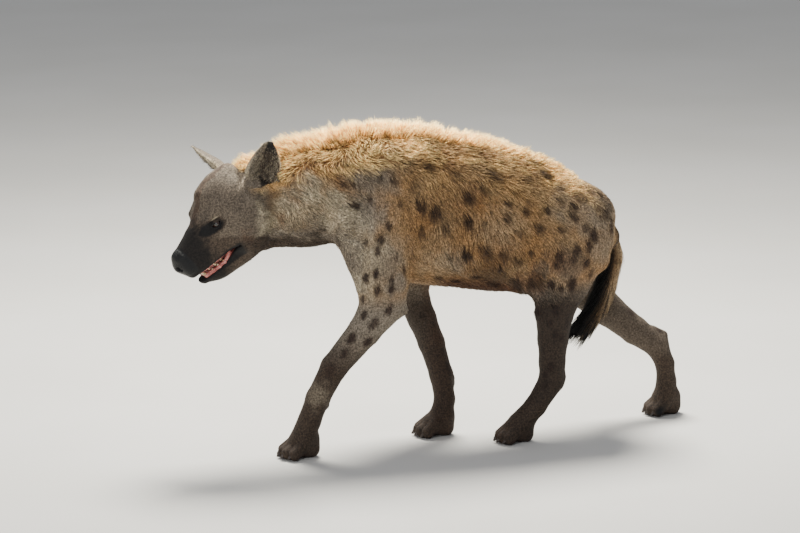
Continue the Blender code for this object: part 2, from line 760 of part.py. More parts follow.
def ear_shell(name, ear):
    """One ear, a rounded cup on a short stem."""
    frame = ear_frame(ear)
    height = (ear["tip"] - ear["root"]).length
    outer = [(place * height, front, back, wide * EAR_SPREAD) for place, front, back, wide in EAR_OUTSIDE]
    inner = [(place * height, front, back, wide * EAR_SPREAD) for place, front, back, wide in EAR_INSIDE]
    cup = Barrel(outer, square=2.2, end=0.010, frame=frame)
    low, high = cup.reach()
    clay = Clay(low - 0.01, high + 0.01, EAR_STEP)
    clay.press(cup)
    clay.press(Barrel(inner, square=2.2, end=0.009, blend=0.002, frame=frame), carve=True)
    return moulded(name, clay, EAR_TRIANGLES)


def swollen(thing, amount):
    """A copy of an object, grown by a small amount, to cut its neighbour clear of it."""
    made = copy_of(thing, "swollen")
    grow = made.modifiers.new("grow", "DISPLACE")
    grow.strength, grow.mid_level = amount, 0.0
    return apply_modifiers(made)


def clear_of(thing, *others):
    """Cuts a piece back from its neighbours by the gap that touching pieces keep."""
    for other in others:
        cutter = swollen(other, GAP * 1.5)
        boolean(thing, cutter, "DIFFERENCE")
        remove(cutter)
    return thing


def body_clay(low, high, step):
    """A block of clay with the whole animal's flesh pressed into it."""
    clay = Clay(low, high, step)
    for form in trunk_details() + neck_muscles():
        clay.press(form)
    for chain in (FORE_LEFT, FORE_RIGHT, HIND_LEFT, HIND_RIGHT):
        for muscle in limb(chain, 0.028):
            clay.press(muscle)
    for muscle in leg_details():
        clay.press(muscle)
    for name in PAWS:
        for form in paw_forms(name):
            clay.press(form)
    for form in head_forms():
        clay.press(form)
    for form in head_hollows():
        clay.press(form, carve=True)
    for form in lid_forms():
        clay.press(form)
    return clay


def toned(thing, colour, roughness):
    """Gives an object its own material."""
    material = bpy.data.materials.new(thing.name + "_finish")
    material.use_nodes = True
    shader = material.node_tree.nodes["Principled BSDF"]
    shader.inputs["Base Color"].default_value = (*colour, 1.0)
    shader.inputs["Roughness"].default_value = roughness
    thing.data.materials.clear()
    thing.data.materials.append(material)
    return thing


def leg_planes():
    """The planes that set each leg apart from the trunk."""
    fore_limit = (Vector((FORE_LIMIT, 0.0, 0.0)), Vector((-1.0, 0.0, 0.0)))
    hind_limit = (Vector((0.20, 0.0, 0.0)), Vector((1.0, 0.0, 0.0)))
    hind_left_limit = (Vector((0.12, 0.0, 0.0)), Vector((1.0, 0.0, 0.0)))
    return {
        "leg_front_left": [FORE_LEFT_CUT, fore_limit, MIDDLE_LEFT],
        "leg_front_right": [FORE_RIGHT_CUT, fore_limit, MIDDLE_RIGHT],
        "leg_hind_left": [HIND_CUT, hind_left_limit, MIDDLE_LEFT],
        "leg_hind_right": [HIND_CUT, hind_limit, MIDDLE_RIGHT],
    }


def paw_cut(name):
    """The plane across the pastern above one paw."""
    return (Vector((0.0, 0.0, PAW_TOP)), Vector((0.0, 0.0, -1.0)))


def build_flesh():
    """Trunk, neck and legs, parted from one moulding of the body."""
    whole = moulded("whole", body_clay((-0.50, -0.21, 0.030), (0.78, 0.21, 0.84), BODY_STEP),
                    BODY_TRIANGLES)
    legs = leg_planes()
    backward = (HEAD_CUT[0], -HEAD_CUT[1])
    neck = kept_in(whole, "neck", [NECK_CUT, backward])
    cleared_of(neck, [HEAD_CUT])
    torso = copy_of(whole, "torso")
    cleared_of(torso, [NECK_CUT])
    made = {"neck": neck, "torso": torso}
    for name, planes in legs.items():
        cleared_of(torso, planes)
        leg = kept_in(whole, name, planes)
        paw = name.replace("leg", "paw")
        cleared_of(leg, [paw_cut(paw)])
        made[name] = leg
    remove(whole)
    return made


def build_paws():
    """The four paws, each standing on flats at the level of the floor, with its claws."""
    made = {}
    floor = (Vector((0.0, 0.0, 0.0)), Vector((0.0, 0.0, 1.0)))
    for name, (x, y, _, length, width) in PAWS.items():
        low = (x - length * 0.75, y - width * 0.80, -0.012)
        high = (x + length * 0.75, y + width * 0.80, 0.105)
        paw = moulded(name, body_clay(low, high, PAW_STEP), PAW_TRIANGLES)
        paw = fused(name, paw, claws(name))
        kept = kept_in(paw, name + "_kept", [paw_cut(name), floor])
        remove(paw)
        kept.name = name
        made[name] = kept
    return made


def build_head():
    """Head, lower jaw and nose, parted from one finer moulding, with room for the eyes."""
    low, high = (-0.72, -0.17, 0.40), (-0.385, 0.15, 0.80)
    whole = moulded("whole_head", body_clay(low, high, HEAD_STEP), HEAD_TRIANGLES)
    forward, crown = HEAD.to_3x3().col[0], HEAD.to_3x3().col[2]
    corner = HEAD @ Vector((MOUTH_CORNER, 0.0, LIP_LINE))
    seam = (HEAD @ Vector((MOUTH_CORNER - 0.004, 0.0, LIP_LINE)), forward + crown * 0.45)
    mouth = [(corner - crown * 0.004, -crown), seam]
    nose_plane = [(HEAD @ Vector((NOSE_CUT, 0.0, 0.0)), forward),
                  (HEAD @ Vector((0.0, 0.0, 0.046)), crown + forward * 0.25)]
    jaw = kept_in(whole, "lower_jaw", mouth + [HEAD_CUT])
    nose = kept_in(whole, "nose", nose_plane)
    head = kept_in(whole, "head", [HEAD_CUT])
    cleared_of(head, mouth)
    cleared_of(head, nose_plane)
    remove(whole)
    head, jaw = fused("head", head, teeth(True)), fused("lower_jaw", jaw, teeth(False))
    made = {"head": head, "lower_jaw": jaw, "nose": nose}
    for name, side in (("eye_left", 1), ("eye_right", -1)):
        place = HEAD @ Vector((EYE_PLACE.x, EYE_PLACE.y * side, EYE_PLACE.z))
        socket = ball(place, EYE_RADIUS + GAP)
        boolean(head, socket, "DIFFERENCE")
        remove(socket)
        eye = ball(place, EYE_RADIUS)
        eye.name = name
        made[name] = eye
    return made


def teeth(upper):
    """The teeth that the open mouth shows, as pegs set in one jaw, in head axes."""
    made = []
    for along, across, height, size in TEETH_UPPER if upper else TEETH_LOWER:
        for side in (-1, 1):
            edge = LIP_LINE - 0.001 if upper else LIP_LINE - MOUTH_OPEN
            into, tip = (0.006, -height) if upper else (-0.010, height)
            root = Vector((along, across * side, edge + into))
            made.append(cone(HEAD @ root, HEAD @ (root + Vector((0.0015, 0.0, tip - into))),
                             size, size * 0.28, 6))
    return made


def build_tongue(jaw, head):
    """The tongue, which lies along the lower jaw."""
    start, end = Vector((0.016, 0.0, LIP_LINE - 0.011)), Vector((0.088, 0.0, LIP_LINE - 0.0135))
    low, high = (-0.66, -0.06, 0.42), (-0.46, 0.03, 0.58)
    clay = Clay(low, high, 0.003)
    clay.press(Muscle(tuple(start), tuple(end), (0.026, 0.009), (0.0175, 0.0075), 0.01, frame=HEAD))
    return clear_of(moulded("tongue", clay, 120), jaw, head)


def build_ears(head):
    """Both ears, cut back from the head where they grow from it."""
    made = {}
    for name, ear in (("ear_left", EAR_LEFT), ("ear_right", EAR_RIGHT)):
        made[name] = clear_of(ear_shell(name, ear), head)
    return made


def lock(root, lie, turn, across, length, width, thick):
    """One flat lock of hair, sunk at its root, bending from its lie towards its turn."""
    lie, points = lie.normalized(), []
    for share, size in ((-0.30, 0.86), (0.26, 1.00), (0.66, 0.80)):
        middle = root + lie * (length * share) + turn * (length * max(share, 0.0) ** 2)
        along = (lie + turn * (2.0 * max(share, 0.0))).normalized()
        wide = (across - across.dot(along) * along).normalized()
        deep = along.cross(wide)
        points += [middle + wide * (width / 2 * size), middle + deep * (thick / 2 * size),
                   middle - wide * (width / 2 * size), middle - deep * (thick / 2 * size)]
    points.append(root + lie * length + turn * length)
    faces = [(3, 2, 1, 0)]
    for ring in (0, 4):
        faces += [(ring + i, ring + (i + 1) % 4, ring + 4 + (i + 1) % 4, ring + 4 + i) for i in range(4)]
    faces += [(8 + i, 8 + (i + 1) % 4, 12) for i in range(4)]
    made = mesh_object("lock", points, faces)
    shape = bmesh.new()
    shape.from_mesh(made.data)
    bmesh.ops.triangulate(shape, faces=shape.faces)
    bmesh.ops.recalc_face_normals(shape, faces=shape.faces)
    shape.to_mesh(made.data)
    shape.free()
    return made


def tail_core():
    """The bone of the tail with the short hair round it."""
    clay = Clay((0.40, -0.08, 0.27), (0.56, 0.08, 0.62), 0.005)
    for muscle in limb(TAIL, 0.02):
        clay.press(muscle)
    return moulded("tail", clay, 220)


def tail_locks():
    """The bush of the tail in tiers, each lock hanging over the roots of the next tier."""
    draw, made = random.Random(5), []
    line = np.array(TAIL)
    for share, count, length in TAIL_TIERS:
        place = share * (len(TAIL) - 1)
        middle = [float(np.interp(place, range(len(TAIL)), line[:, i])) for i in range(5)]
        ahead = [float(np.interp(place + 0.5, range(len(TAIL)), line[:, i])) for i in range(3)]
        down = (Vector(ahead) - Vector(middle[:3])).normalized()
        for i in range(count):
            turn = 2 * math.pi * (i + 0.5 * (count % 2) + draw.uniform(-0.15, 0.15)) / count
            out = Vector((math.sin(turn), math.cos(turn), 0.0))
            root = Vector(middle[:3]) + Vector((out.x * middle[4], out.y * middle[3], 0.0)) * 0.70
            lie = down + out * 0.30
            sweep = Vector((-0.30, 0.0, -0.06)) * draw.uniform(0.7, 1.2) * share - out * 0.16
            across = Vector((out.y, -out.x, 0.0))
            made.append(lock(root, lie, sweep, across, length * draw.uniform(0.86, 1.08),
                             0.034 * draw.uniform(0.9, 1.15), 0.0110))
    return made


def mane_core():
    """The dense root of the mane, a low ridge along the crest."""
    clay = Clay((-0.52, -0.06, 0.62), (0.40, 0.06, 0.86), 0.006)
    for (x, z, hair, _), (x2, z2, hair2, _) in zip(MANE, MANE[1:]):
        clay.press(Muscle((x, 0.0, z), (x2, 0.0, z2), (0.021, 0.36 * hair), (0.021, 0.36 * hair2), 0.02))
    return moulded("mane", clay, 240)


def mane_locks():
    """The long hair of the crest in three rows, leaning forward on the neck and back on the rump."""
    draw, made, line = random.Random(3), [], np.array(MANE)
    reach = line[-1, 0] - line[0, 0]
    steps = int(reach / MANE_STEP)
    for i in range(steps + 1):
        for row in (-1, 1) if i % 2 else (0,):
            x = line[0, 0] + reach * (i + draw.uniform(-0.25, 0.25)) / steps
            x = min(max(x, line[0, 0]), line[-1, 0])
            z, hair, lean = (float(np.interp(x, line[:, 0], line[:, k])) for k in (1, 2, 3))
            lean = math.radians(lean + draw.uniform(-7.0, 7.0))
            lie = Vector((math.sin(lean), 0.36 * row, math.cos(lean)))
            root = Vector((x, MANE_SPREAD * row * 0.8, z - 0.004 * abs(row)))
            turn = Vector((0.22 * math.copysign(1.0, lean), -0.16 * row, -0.10 * abs(math.sin(lean))))
            across = Vector((1.0, 0.20 * draw.uniform(-1.0, 1.0), 0.0))
            made.append(lock(root, lie, turn, across, hair * draw.uniform(0.88, 1.06),
                             LOCK_WIDTH * draw.uniform(0.85, 1.15), LOCK_THICK))
    return made


def centre_on_floor():
    """Moves everything so that the middle of the model's box stands over the origin."""
    corners = []
    for thing in bpy.context.scene.objects:
        corners += [vert.co for vert in thing.data.vertices]
    corners = np.array(corners)
    low, high = corners.min(axis=0), corners.max(axis=0)
    shift = Matrix.Translation((-(low[0] + high[0]) / 2, -(low[1] + high[1]) / 2, -low[2]))
    for thing in bpy.context.scene.objects:
        thing.data.transform(shift)


FINISHES = {
    "head": ((0.23, 0.19, 0.15), 0.85),
    "lower_jaw": ((0.10, 0.08, 0.07), 0.80),
    "nose": ((0.02, 0.02, 0.02), 0.45),
    "tongue": ((0.55, 0.25, 0.24), 0.40),
    "ear_left": ((0.16, 0.13, 0.12), 0.85),
    "ear_right": ((0.16, 0.13, 0.12), 0.85),
    "eye_left": ((0.03, 0.02, 0.01), 0.08),
    "eye_right": ((0.03, 0.02, 0.01), 0.08),
    "mane": ((0.62, 0.45, 0.26), 0.80),
    "neck": ((0.48, 0.37, 0.25), 0.85),
    "torso": ((0.40, 0.31, 0.22), 0.85),
    "tail": ((0.16, 0.11, 0.08), 0.80),
    "leg_front_left": ((0.22, 0.18, 0.14), 0.85),
    "leg_front_right": ((0.22, 0.18, 0.14), 0.85),
    "leg_hind_left": ((0.20, 0.16, 0.13), 0.85),
    "leg_hind_right": ((0.20, 0.16, 0.13), 0.85),
    "paw_front_left": ((0.06, 0.04, 0.03), 0.80),
    "paw_front_right": ((0.06, 0.04, 0.03), 0.80),
    "paw_hind_left": ((0.06, 0.04, 0.03), 0.80),
    "paw_hind_right": ((0.06, 0.04, 0.03), 0.80),
}


def build():
    """Makes every node of the animal and hangs them all on one empty at the floor."""
    for thing in list(bpy.data.objects):
        bpy.data.objects.remove(thing, do_unlink=True)
    made = build_flesh()
    made.update(build_paws())
    made.update(build_head())
    made["tongue"] = build_tongue(made["lower_jaw"], made["head"])
    made.update(build_ears(made["head"]))
    tail = fused("tail", tail_core(), tail_locks())
    made["tail"] = clear_of(tail, made["torso"], made["leg_hind_left"], made["leg_hind_right"])
    mane = fused("mane", mane_core(), mane_locks())
    made["mane"] = clear_of(mane, made["torso"], made["neck"], made["head"],
                            made["ear_left"], made["ear_right"])
    centre_on_floor()
    stand = bpy.data.objects.new("hyena", None)
    bpy.context.scene.collection.objects.link(stand)
    for name, thing in made.items():
        thing.name = name
        toned(thing, *FINISHES[name])
        thing.data.shade_smooth()
        thing.parent = stand


build()
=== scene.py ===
"""Coat, skin, face and feet of a life-size spotted hyena that walks with its head low.

The animal faces -X, its left side is -Y and the floor is Z = 0. Sizes are metres, and
millimetres in the tables that say so.
The flesh is one skin, drawn through muscles that blend together, and the coat is made of
many thin tufts that grow from it along the lie of the hair.
"""

from __future__ import annotations

import json
import logging
import math
from dataclasses import dataclass, field
from enum import IntEnum
from functools import partial

import bmesh
import bpy
import numpy as np
from bpy.types import Material, Node, NodeSocket, NodeTree, Object
from mathutils import Matrix, Vector
from mathutils.bvhtree import BVHTree

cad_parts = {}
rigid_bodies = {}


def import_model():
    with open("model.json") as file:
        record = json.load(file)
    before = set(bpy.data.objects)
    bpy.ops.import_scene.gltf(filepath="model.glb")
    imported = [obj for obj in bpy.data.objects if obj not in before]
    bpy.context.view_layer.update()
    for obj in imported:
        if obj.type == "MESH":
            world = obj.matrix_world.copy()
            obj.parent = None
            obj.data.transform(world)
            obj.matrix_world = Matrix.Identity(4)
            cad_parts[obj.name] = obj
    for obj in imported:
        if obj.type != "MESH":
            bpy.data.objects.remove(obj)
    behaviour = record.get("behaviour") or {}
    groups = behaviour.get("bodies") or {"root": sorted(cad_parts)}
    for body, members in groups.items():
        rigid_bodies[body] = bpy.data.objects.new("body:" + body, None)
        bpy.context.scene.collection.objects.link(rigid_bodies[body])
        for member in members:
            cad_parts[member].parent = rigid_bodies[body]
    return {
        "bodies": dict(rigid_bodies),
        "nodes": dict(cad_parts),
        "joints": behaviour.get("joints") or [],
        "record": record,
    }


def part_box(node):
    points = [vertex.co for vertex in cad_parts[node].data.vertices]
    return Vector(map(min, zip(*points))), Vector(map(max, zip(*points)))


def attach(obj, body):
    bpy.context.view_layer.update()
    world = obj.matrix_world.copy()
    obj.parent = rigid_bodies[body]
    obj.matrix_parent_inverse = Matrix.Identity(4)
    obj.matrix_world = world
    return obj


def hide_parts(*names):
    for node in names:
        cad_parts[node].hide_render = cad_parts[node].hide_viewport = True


LOG = logging.getLogger("hyena")
WORLD = Matrix.Identity(4)
TURN = 2.0 * math.pi
SIDES = (-1, 1)
Array = np.ndarray


def metres(*rows: tuple) -> tuple:
    """Rows of sizes in millimetres, turned into metres."""
    return tuple(tuple(value / 1000 for value in row) for row in rows)


def empty(*shape: int, kind: type = float) -> Array:
    """A field of a class that starts as zeros of one shape."""
    return field(default_factory=lambda: np.zeros(shape, kind))


def carried(points: Array, matrix: Array) -> Array:
    """The places that a matrix of four rows carries points to."""
    return points @ matrix[:3, :3].T + matrix[:3, 3]


def ripples(points: Array, scale: float, seed: int) -> Array:
    """Three patterns of soft noise, as the three parts of a push."""
    return np.stack([ripple(points, scale, seed + i) for i in range(3)], axis=1)


def ease(low: float, high: float, value: Array) -> Array:
    """Rises smoothly from 0 at low to 1 at high; low may be the larger one."""
    share = np.clip((value - low) / (high - low), 0.0, 1.0)
    return share * share * (3.0 - 2.0 * share)


def blend(first: Array, second: Array, share: Array) -> Array:
    """The first value where share is 0, the second where it is 1."""
    return first + (second - first) * share


def unit(vectors: Array) -> Array:
    """The same directions with length 1."""
    return vectors / np.maximum(np.linalg.norm(vectors, axis=-1, keepdims=True), 1e-9)


def ripple(points: Array, scale: float, seed: int) -> Array:
    """Soft noise between about -1 and 1.

    Args:
        points: Places, one per row.
        scale: The usual distance between two crests, in metres.
        seed: Picks one pattern.

    Returns:
        One value for each place.
    """
    draw = np.random.default_rng(seed)
    total = np.zeros(len(points))
    for _ in range(7):
        way = unit(draw.normal(size=3)) * (0.6 + 0.9 * draw.random()) / scale
        total += np.sin(points @ way * TURN + TURN * draw.random())
    return np.clip(total / 2.6, -1.0, 1.0)


def smooth_line(places: Array, values: Array, at: Array) -> Array:
    """A smooth curve through the values, level past its two ends.

    Args:
        places: Where the values hold, rising.
        values: The value at each place.
        at: Where the curve is read.

    Returns:
        The curve's value at each place of at.
    """
    slopes = np.gradient(values, places)
    index = np.clip(np.searchsorted(places, at) - 1, 0, len(places) - 2)
    span = places[index + 1] - places[index]
    t = np.clip((at - places[index]) / span, 0.0, 1.0)
    rise = (2 * t**3 - 3 * t**2 + 1) * values[index] + (3 * t**2 - 2 * t**3) * values[index + 1]
    bend = (t**3 - 2 * t**2 + t) * slopes[index] + (t**3 - t**2) * slopes[index + 1]
    return rise + bend * span


def oval_distance(parts: tuple, radii: tuple, square: float = 2.0) -> Array:
    """How far points lie outside an oval, to a good estimate.

    Args:
        parts: Three offsets from the oval's middle, along its axes.
        radii: The oval's three half sizes.
        square: 2 for a round section, more for a squarer one.

    Returns:
        Distances, negative inside.
    """
    scaled = [np.abs(part) / radius for part, radius in zip(parts, radii)]
    level = (scaled[0] ** square + scaled[1] ** square) ** (2.0 / square) + scaled[2] ** 2
    slope = sum((part / radius**2) ** 2 for part, radius in zip(parts, radii))
    level = np.sqrt(level)
    thin = np.minimum(np.minimum(radii[0], radii[1]), radii[2])
    steep = np.where(slope > 1e-9, level / np.sqrt(np.maximum(slope, 1e-9)), thin)
    return np.where(level > 0.3, steep * (level - 1.0), -thin * (1.0 - level))


@dataclass
class Muscle:
    """A tapered bundle between two points, oval in section and round at its ends."""

    start: tuple
    end: tuple
    start_size: tuple
    end_size: tuple
    blend: float = 0.02
    side: tuple = (0.0, 1.0, 0.0)
    frame: Matrix = field(default_factory=lambda: WORLD)

    def reach(self) -> tuple[Array, Array]:
        """The lowest and highest corner of the bundle in the animal's axes."""
        ends = np.array([self.frame @ Vector(self.start), self.frame @ Vector(self.end)])
        size = max(*self.start_size, *self.end_size)
        return ends.min(axis=0) - size, ends.max(axis=0) + size

    def distance(self, points: Array) -> Array:
        """How far each point, in the bundle's own axes, lies outside it."""
        start, end = np.array(self.start, float), np.array(self.end, float)
        along = end - start
        length = max(np.linalg.norm(along), 1e-6)
        along = along / length
        side = np.array(self.side, float)
        side = side - (side @ along) * along
        side = side / np.linalg.norm(side)
        deep = np.cross(along, side)
        offset = points - start
        share = np.clip(offset @ along / length, 0.0, 1.0)
        offset = offset - share[..., None] * along * length
        wide = self.start_size[0] + (self.end_size[0] - self.start_size[0]) * share
        tall = self.start_size[1] + (self.end_size[1] - self.start_size[1]) * share
        parts = (offset @ side, offset @ deep, offset @ along)
        return oval_distance(parts, (wide, tall, np.minimum(wide, tall)))


def bundles(*rows: tuple, frame: Matrix = WORLD) -> list:
    """Bundles from rows of two ends, their half sizes and the blend, in millimetres."""
    made = []
    for *parts, soft in rows:
        start, end, first, last = metres(*parts)
        made.append(Muscle(start, end, first, last, soft / 1000, frame=frame))
    return made


def paired(*rows: tuple, frame: Matrix = WORLD) -> list:
    """The same rows on both sides, each with its second number turned about."""
    return [bundle for side in SIDES for (a, b, c), (d, e, f), *rest in rows
            for bundle in bundles(((a, b * side, c), (d, e * side, f), *rest), frame=frame)]


@dataclass
class Barrel:
    """A form along its frame's first axis: top, bottom and half width at each station."""

    stations: tuple
    square: float = 2.0
    end: float = 0.03
    blend: float = 0.02
    frame: Matrix = field(default_factory=lambda: WORLD)

    def reach(self) -> tuple[Array, Array]:
        """The lowest and highest corner of the form in the animal's axes."""
        corners = []
        for along, top, bottom, wide in self.stations:
            for side in (-wide, wide):
                corners += [Vector((along, side, top)), Vector((along, side, bottom))]
        places = np.array([self.frame @ corner for corner in corners])
        return places.min(axis=0) - self.end, places.max(axis=0) + self.end

    def distance(self, points: Array) -> Array:
        """How far each point, in the form's own axes, lies outside it."""
        along = points[..., 0]
        stations = np.array(self.stations)
        top, bottom, wide = (smooth_line(stations[:, 0], stations[:, i], along) for i in (1, 2, 3))
        beyond = along - np.clip(along, stations[0, 0], stations[-1, 0])
        tall = (top - bottom) / 2
        parts = (points[..., 1], points[..., 2] - (top + bottom) / 2, beyond)
        return oval_distance(parts, (wide, tall, self.end), self.square)


@dataclass
class Chain:
    """Tapered bundles end to end, given by the place and the two half sizes of each joint."""

    joints: tuple
    blend: float = 0.02
    soft: float = 0.008
    frame: Matrix = field(default_factory=lambda: WORLD)

    def links(self) -> list:
        """One bundle between each joint and the next."""
        return [Muscle(upper[:3], lower[:3], upper[3:], lower[3:], self.blend, frame=self.frame)
                for upper, lower in zip(self.joints, self.joints[1:])]

    def reach(self) -> tuple[Array, Array]:
        """The lowest and highest corner of the chain in the animal's axes."""
        corners = [link.reach() for link in self.links()]
        return (np.min([low for low, _ in corners], axis=0),
                np.max([high for _, high in corners], axis=0))

    def distance(self, points: Array) -> Array:
        """How far each point lies outside the chain."""
        value = None
        for link in self.links():
            found = link.distance(points)
            value = found if value is None else merged(value, found, self.soft)
        return value


@dataclass
class Cup:
    """A barrel with another one hollowed out of it, as an ear is."""

    outer: Barrel
    hollow: Barrel
    rim: float = 0.003
    blend: float = 0.007

    @property
    def frame(self) -> Matrix:
        """The axes that both barrels are given in."""
        return self.outer.frame

    def reach(self) -> tuple[Array, Array]:
        """The lowest and highest corner of the cup in the animal's axes."""
        return self.outer.reach()

    def distance(self, points: Array) -> Array:
        """How far each point, in the cup's own axes, lies outside its wall."""
        return merged(self.outer.distance(points), self.hollow.distance(points), self.rim, True)


def merged(old: Array, new: Array, width: float, carve: bool = False) -> Array:
    """Joins two distances with a rounded crease.

    Args:
        old: Distances to what is there already.
        new: Distances to what is added or carved away.
        width: How wide the rounding is.
        carve: True to cut the new form out.

    Returns:
        The distances to the result.
    """
    near = np.maximum(width - np.abs(old + new if carve else old - new), 0.0) / width
    if carve:
        return np.maximum(old, -new) + near**2 * width / 4
    return np.minimum(old, new) - near**2 * width / 4


class Anatomy:
    """All the forms of the body in the order in which they blend."""

    MARGIN = 0.012
    NUDGE = 0.0006
    LONGEST_MOVE = 0.003

    def __init__(self) -> None:
        """Starts with no form at all."""
        self.forms: list[tuple] = []

    def add(self, forms: list, carve: bool = False) -> None:
        """Adds forms, or hollows where carve is true."""
        for form in forms:
            low, high = form.reach()
            turn = np.array(form.frame.inverted())
            margin = form.blend + self.MARGIN
            self.forms.append((form, carve, low - margin, high + margin, turn))

    def distance(self, points: Array) -> Array:
        """How far each point lies outside the body."""
        value = np.full(len(points), 1.0)
        for form, carve, low, high, turn in self.forms:
            near = np.flatnonzero(((points > low) & (points < high)).all(axis=1))
            if near.size:
                found = form.distance(carried(points[near], turn))
                value[near] = merged(value[near], found, form.blend, carve)
        return value

    def grid(self, low: tuple, high: tuple, step: float) -> Array:
        """The same distances on a grid.

        Args:
            low: The grid's lowest corner.
            high: Its highest corner.
            step: The distance between its points.

        Returns:
            An array with three axes.
        """
        start = np.array(low)
        shape = np.ceil((np.array(high) - start) / step).astype(int) + 1
        value = np.full(tuple(shape), 1.0)
        for form, carve, least, most, turn in self.forms:
            first = np.clip(np.floor((least - start) / step).astype(int), 0, shape)
            last = np.clip(np.ceil((most - start) / step).astype(int) + 1, 0, shape)
            if (first >= last).any():
                continue
            block = tuple(slice(a, b) for a, b in zip(first, last))
            axes = [start[i] + step * np.arange(first[i], last[i]) for i in range(3)]
            points = np.stack(np.meshgrid(*axes, indexing="ij"), axis=-1)
            found = form.distance(carried(points, turn))
            value[block] = merged(value[block], found, form.blend, carve)
        return value

    def slope(self, points: Array) -> tuple[Array, Array]:
        """Distances and the way out of the body at each point, with its steepness."""
        value = self.distance(points)
        rise = [self.distance(points + self.NUDGE * axis) - value for axis in np.eye(3)]
        return value, np.stack(rise, axis=1) / self.NUDGE

    def settle(self, points: Array, depth, rounds: int = 3) -> tuple[Array, Array]:
        """Moves points onto the surface that lies a given depth inside the body.

        Args:
            points: Places near that surface.
            depth: A function from places to depths.
            rounds: How often each point is moved.

        Returns:
            The moved points and the outward normals there.
        """
        for _ in range(rounds):
            value, rise = self.slope(points)
            steep = np.maximum((rise**2).sum(axis=1), 0.25)
            move = np.clip((value + depth(points)) / steep, -self.LONGEST_MOVE, self.LONGEST_MOVE)
            points = points - rise * move[:, None]
        return points, unit(self.slope(points)[1])


def surface_net(value: Array, low: tuple, step: float, keep) -> tuple[Array, Array]:
    """Draws four-sided faces through the places where a grid changes sign.

    Args:
        value: The grid, negative inside.
        low: Its lowest corner.
        step: The distance between its points.
        keep: A function from cell corners to True where faces may lie.

    Returns:
        Points and faces, which point outward.
    """
    inside = value < 0
    cells = tuple(n - 1 for n in value.shape)
    corners = [(i, j, k) for i in (0, 1) for j in (0, 1) for k in (0, 1)]
    count = sum(inside[tuple(slice(c, c + n) for c, n in zip(corner, cells))].astype(np.int8)
                for corner in corners)
    index = np.argwhere((count > 0) & (count < 8))
    index = index[keep(np.array(low) + step * index)]
    number = np.full(cells, -1)
    number[tuple(index.T)] = np.arange(len(index))
    total, crossings = np.zeros((len(index), 3)), np.zeros(len(index))
    for axis in range(3):
        along = np.eye(3, dtype=int)[axis]
        for corner in (c for c in corners if c[axis] == 0):
            start = index + corner
            before, after = value[tuple(start.T)], value[tuple((start + along).T)]
            crossed = (before < 0) != (after < 0)
            share = before[crossed] / (before[crossed] - after[crossed])
            total[crossed] += start[crossed] + share[:, None] * along
            crossings += crossed
    faces = []
    for axis in range(3):
        u, v = np.eye(3, dtype=int)[(axis + 1) % 3], np.eye(3, dtype=int)[(axis + 2) % 3]
        along = np.eye(3, dtype=int)[axis]
        head = tuple(slice(0, n - a) for n, a in zip(value.shape, along))
        tail = tuple(slice(a, n) for n, a in zip(value.shape, along))
        found = np.argwhere(inside[head] != inside[tail])
        found = found[((found - u - v >= 0) & (found < cells)).all(axis=1)]
        ring = np.stack([number[tuple((found - move).T)] for move in (0 * u, u, u + v, v)], axis=1)
        outward = inside[tuple(found.T)]
        whole = (ring >= 0).all(axis=1)
        faces.append(np.where(outward[:, None], ring, ring[:, ::-1])[whole])
    points = np.array(low) + step * total / np.maximum(crossings, 1)[:, None]
    return points, np.concatenate(faces)


@dataclass(frozen=True)
class HeadAxes:
    """The head's own axes: forward along the mouth line, left, and up through the crown."""

    origin: tuple = (-0.493, -0.011, 0.539)
    yaw: float = math.radians(10.0)
    pitch: float = math.radians(38.0)

    def matrix(self) -> Matrix:
        """The matrix from head axes to the animal's axes."""
        level = math.cos(self.pitch)
        forward = Vector((-math.cos(self.yaw) * level, -math.sin(self.yaw) * level,
                          -math.sin(self.pitch)))
        left = Vector((math.sin(self.yaw), -math.cos(self.yaw), 0.0))
        frame = Matrix((forward, left, forward.cross(left))).transposed().to_4x4()
        frame.translation = Vector(self.origin)
        return frame


HEAD = HeadAxes().matrix()
HEAD_BACK = np.array(HEAD.inverted())


def in_head(points: Array) -> Array:
    """The same places in head axes."""
    return carried(points, HEAD_BACK)


@dataclass(frozen=True)
class Trunk:
    """The barrel of the body with shoulder blades, breast, flanks and buttocks.

    Each station gives its place along the body, top, bottom and half width, in millimetres.
    """

    stations: tuple = metres(
        (-225, 768, 540, 80), (-150, 784, 452, 108), (-50, 782, 414, 124), (80, 768, 391, 138),
        (190, 742, 375, 142), (290, 708, 375, 130), (380, 660, 412, 112), (450, 592, 450, 86),
        (490, 525, 475, 50))
    square: float = 2.25
    end: float = 0.025

    def forms(self) -> list:
        """Everything between the neck and the tail."""
        trunk = Barrel(self.stations, square=self.square, end=self.end)
        return [trunk] + bundles(
            ((-190, 0, 600), (-152, 0, 492), (70, 48), (60, 42), 40),
            ((-130, 0, 730), (-20, 0, 735), (70, 50), (75, 45), 40)) + paired(
            ((-110, 52, 735), (-185, 82, 560), (30, 55), (36, 60), 40),
            ((442, 40, 556), (430, 62, 460), (48, 48), (46, 46), 40),
            ((235, 85, 420), (300, 100, 400), (30, 30), (32, 36), 50))

    def hollows(self) -> list:
        """The creases before the thigh and behind the shoulder."""
        return paired(
            ((338, 150, 520), (268, 136, 402), (7, 7), (9, 9), 30),
            ((-200, 124, 650), (-212, 120, 570), (8, 12), (8, 12), 30))


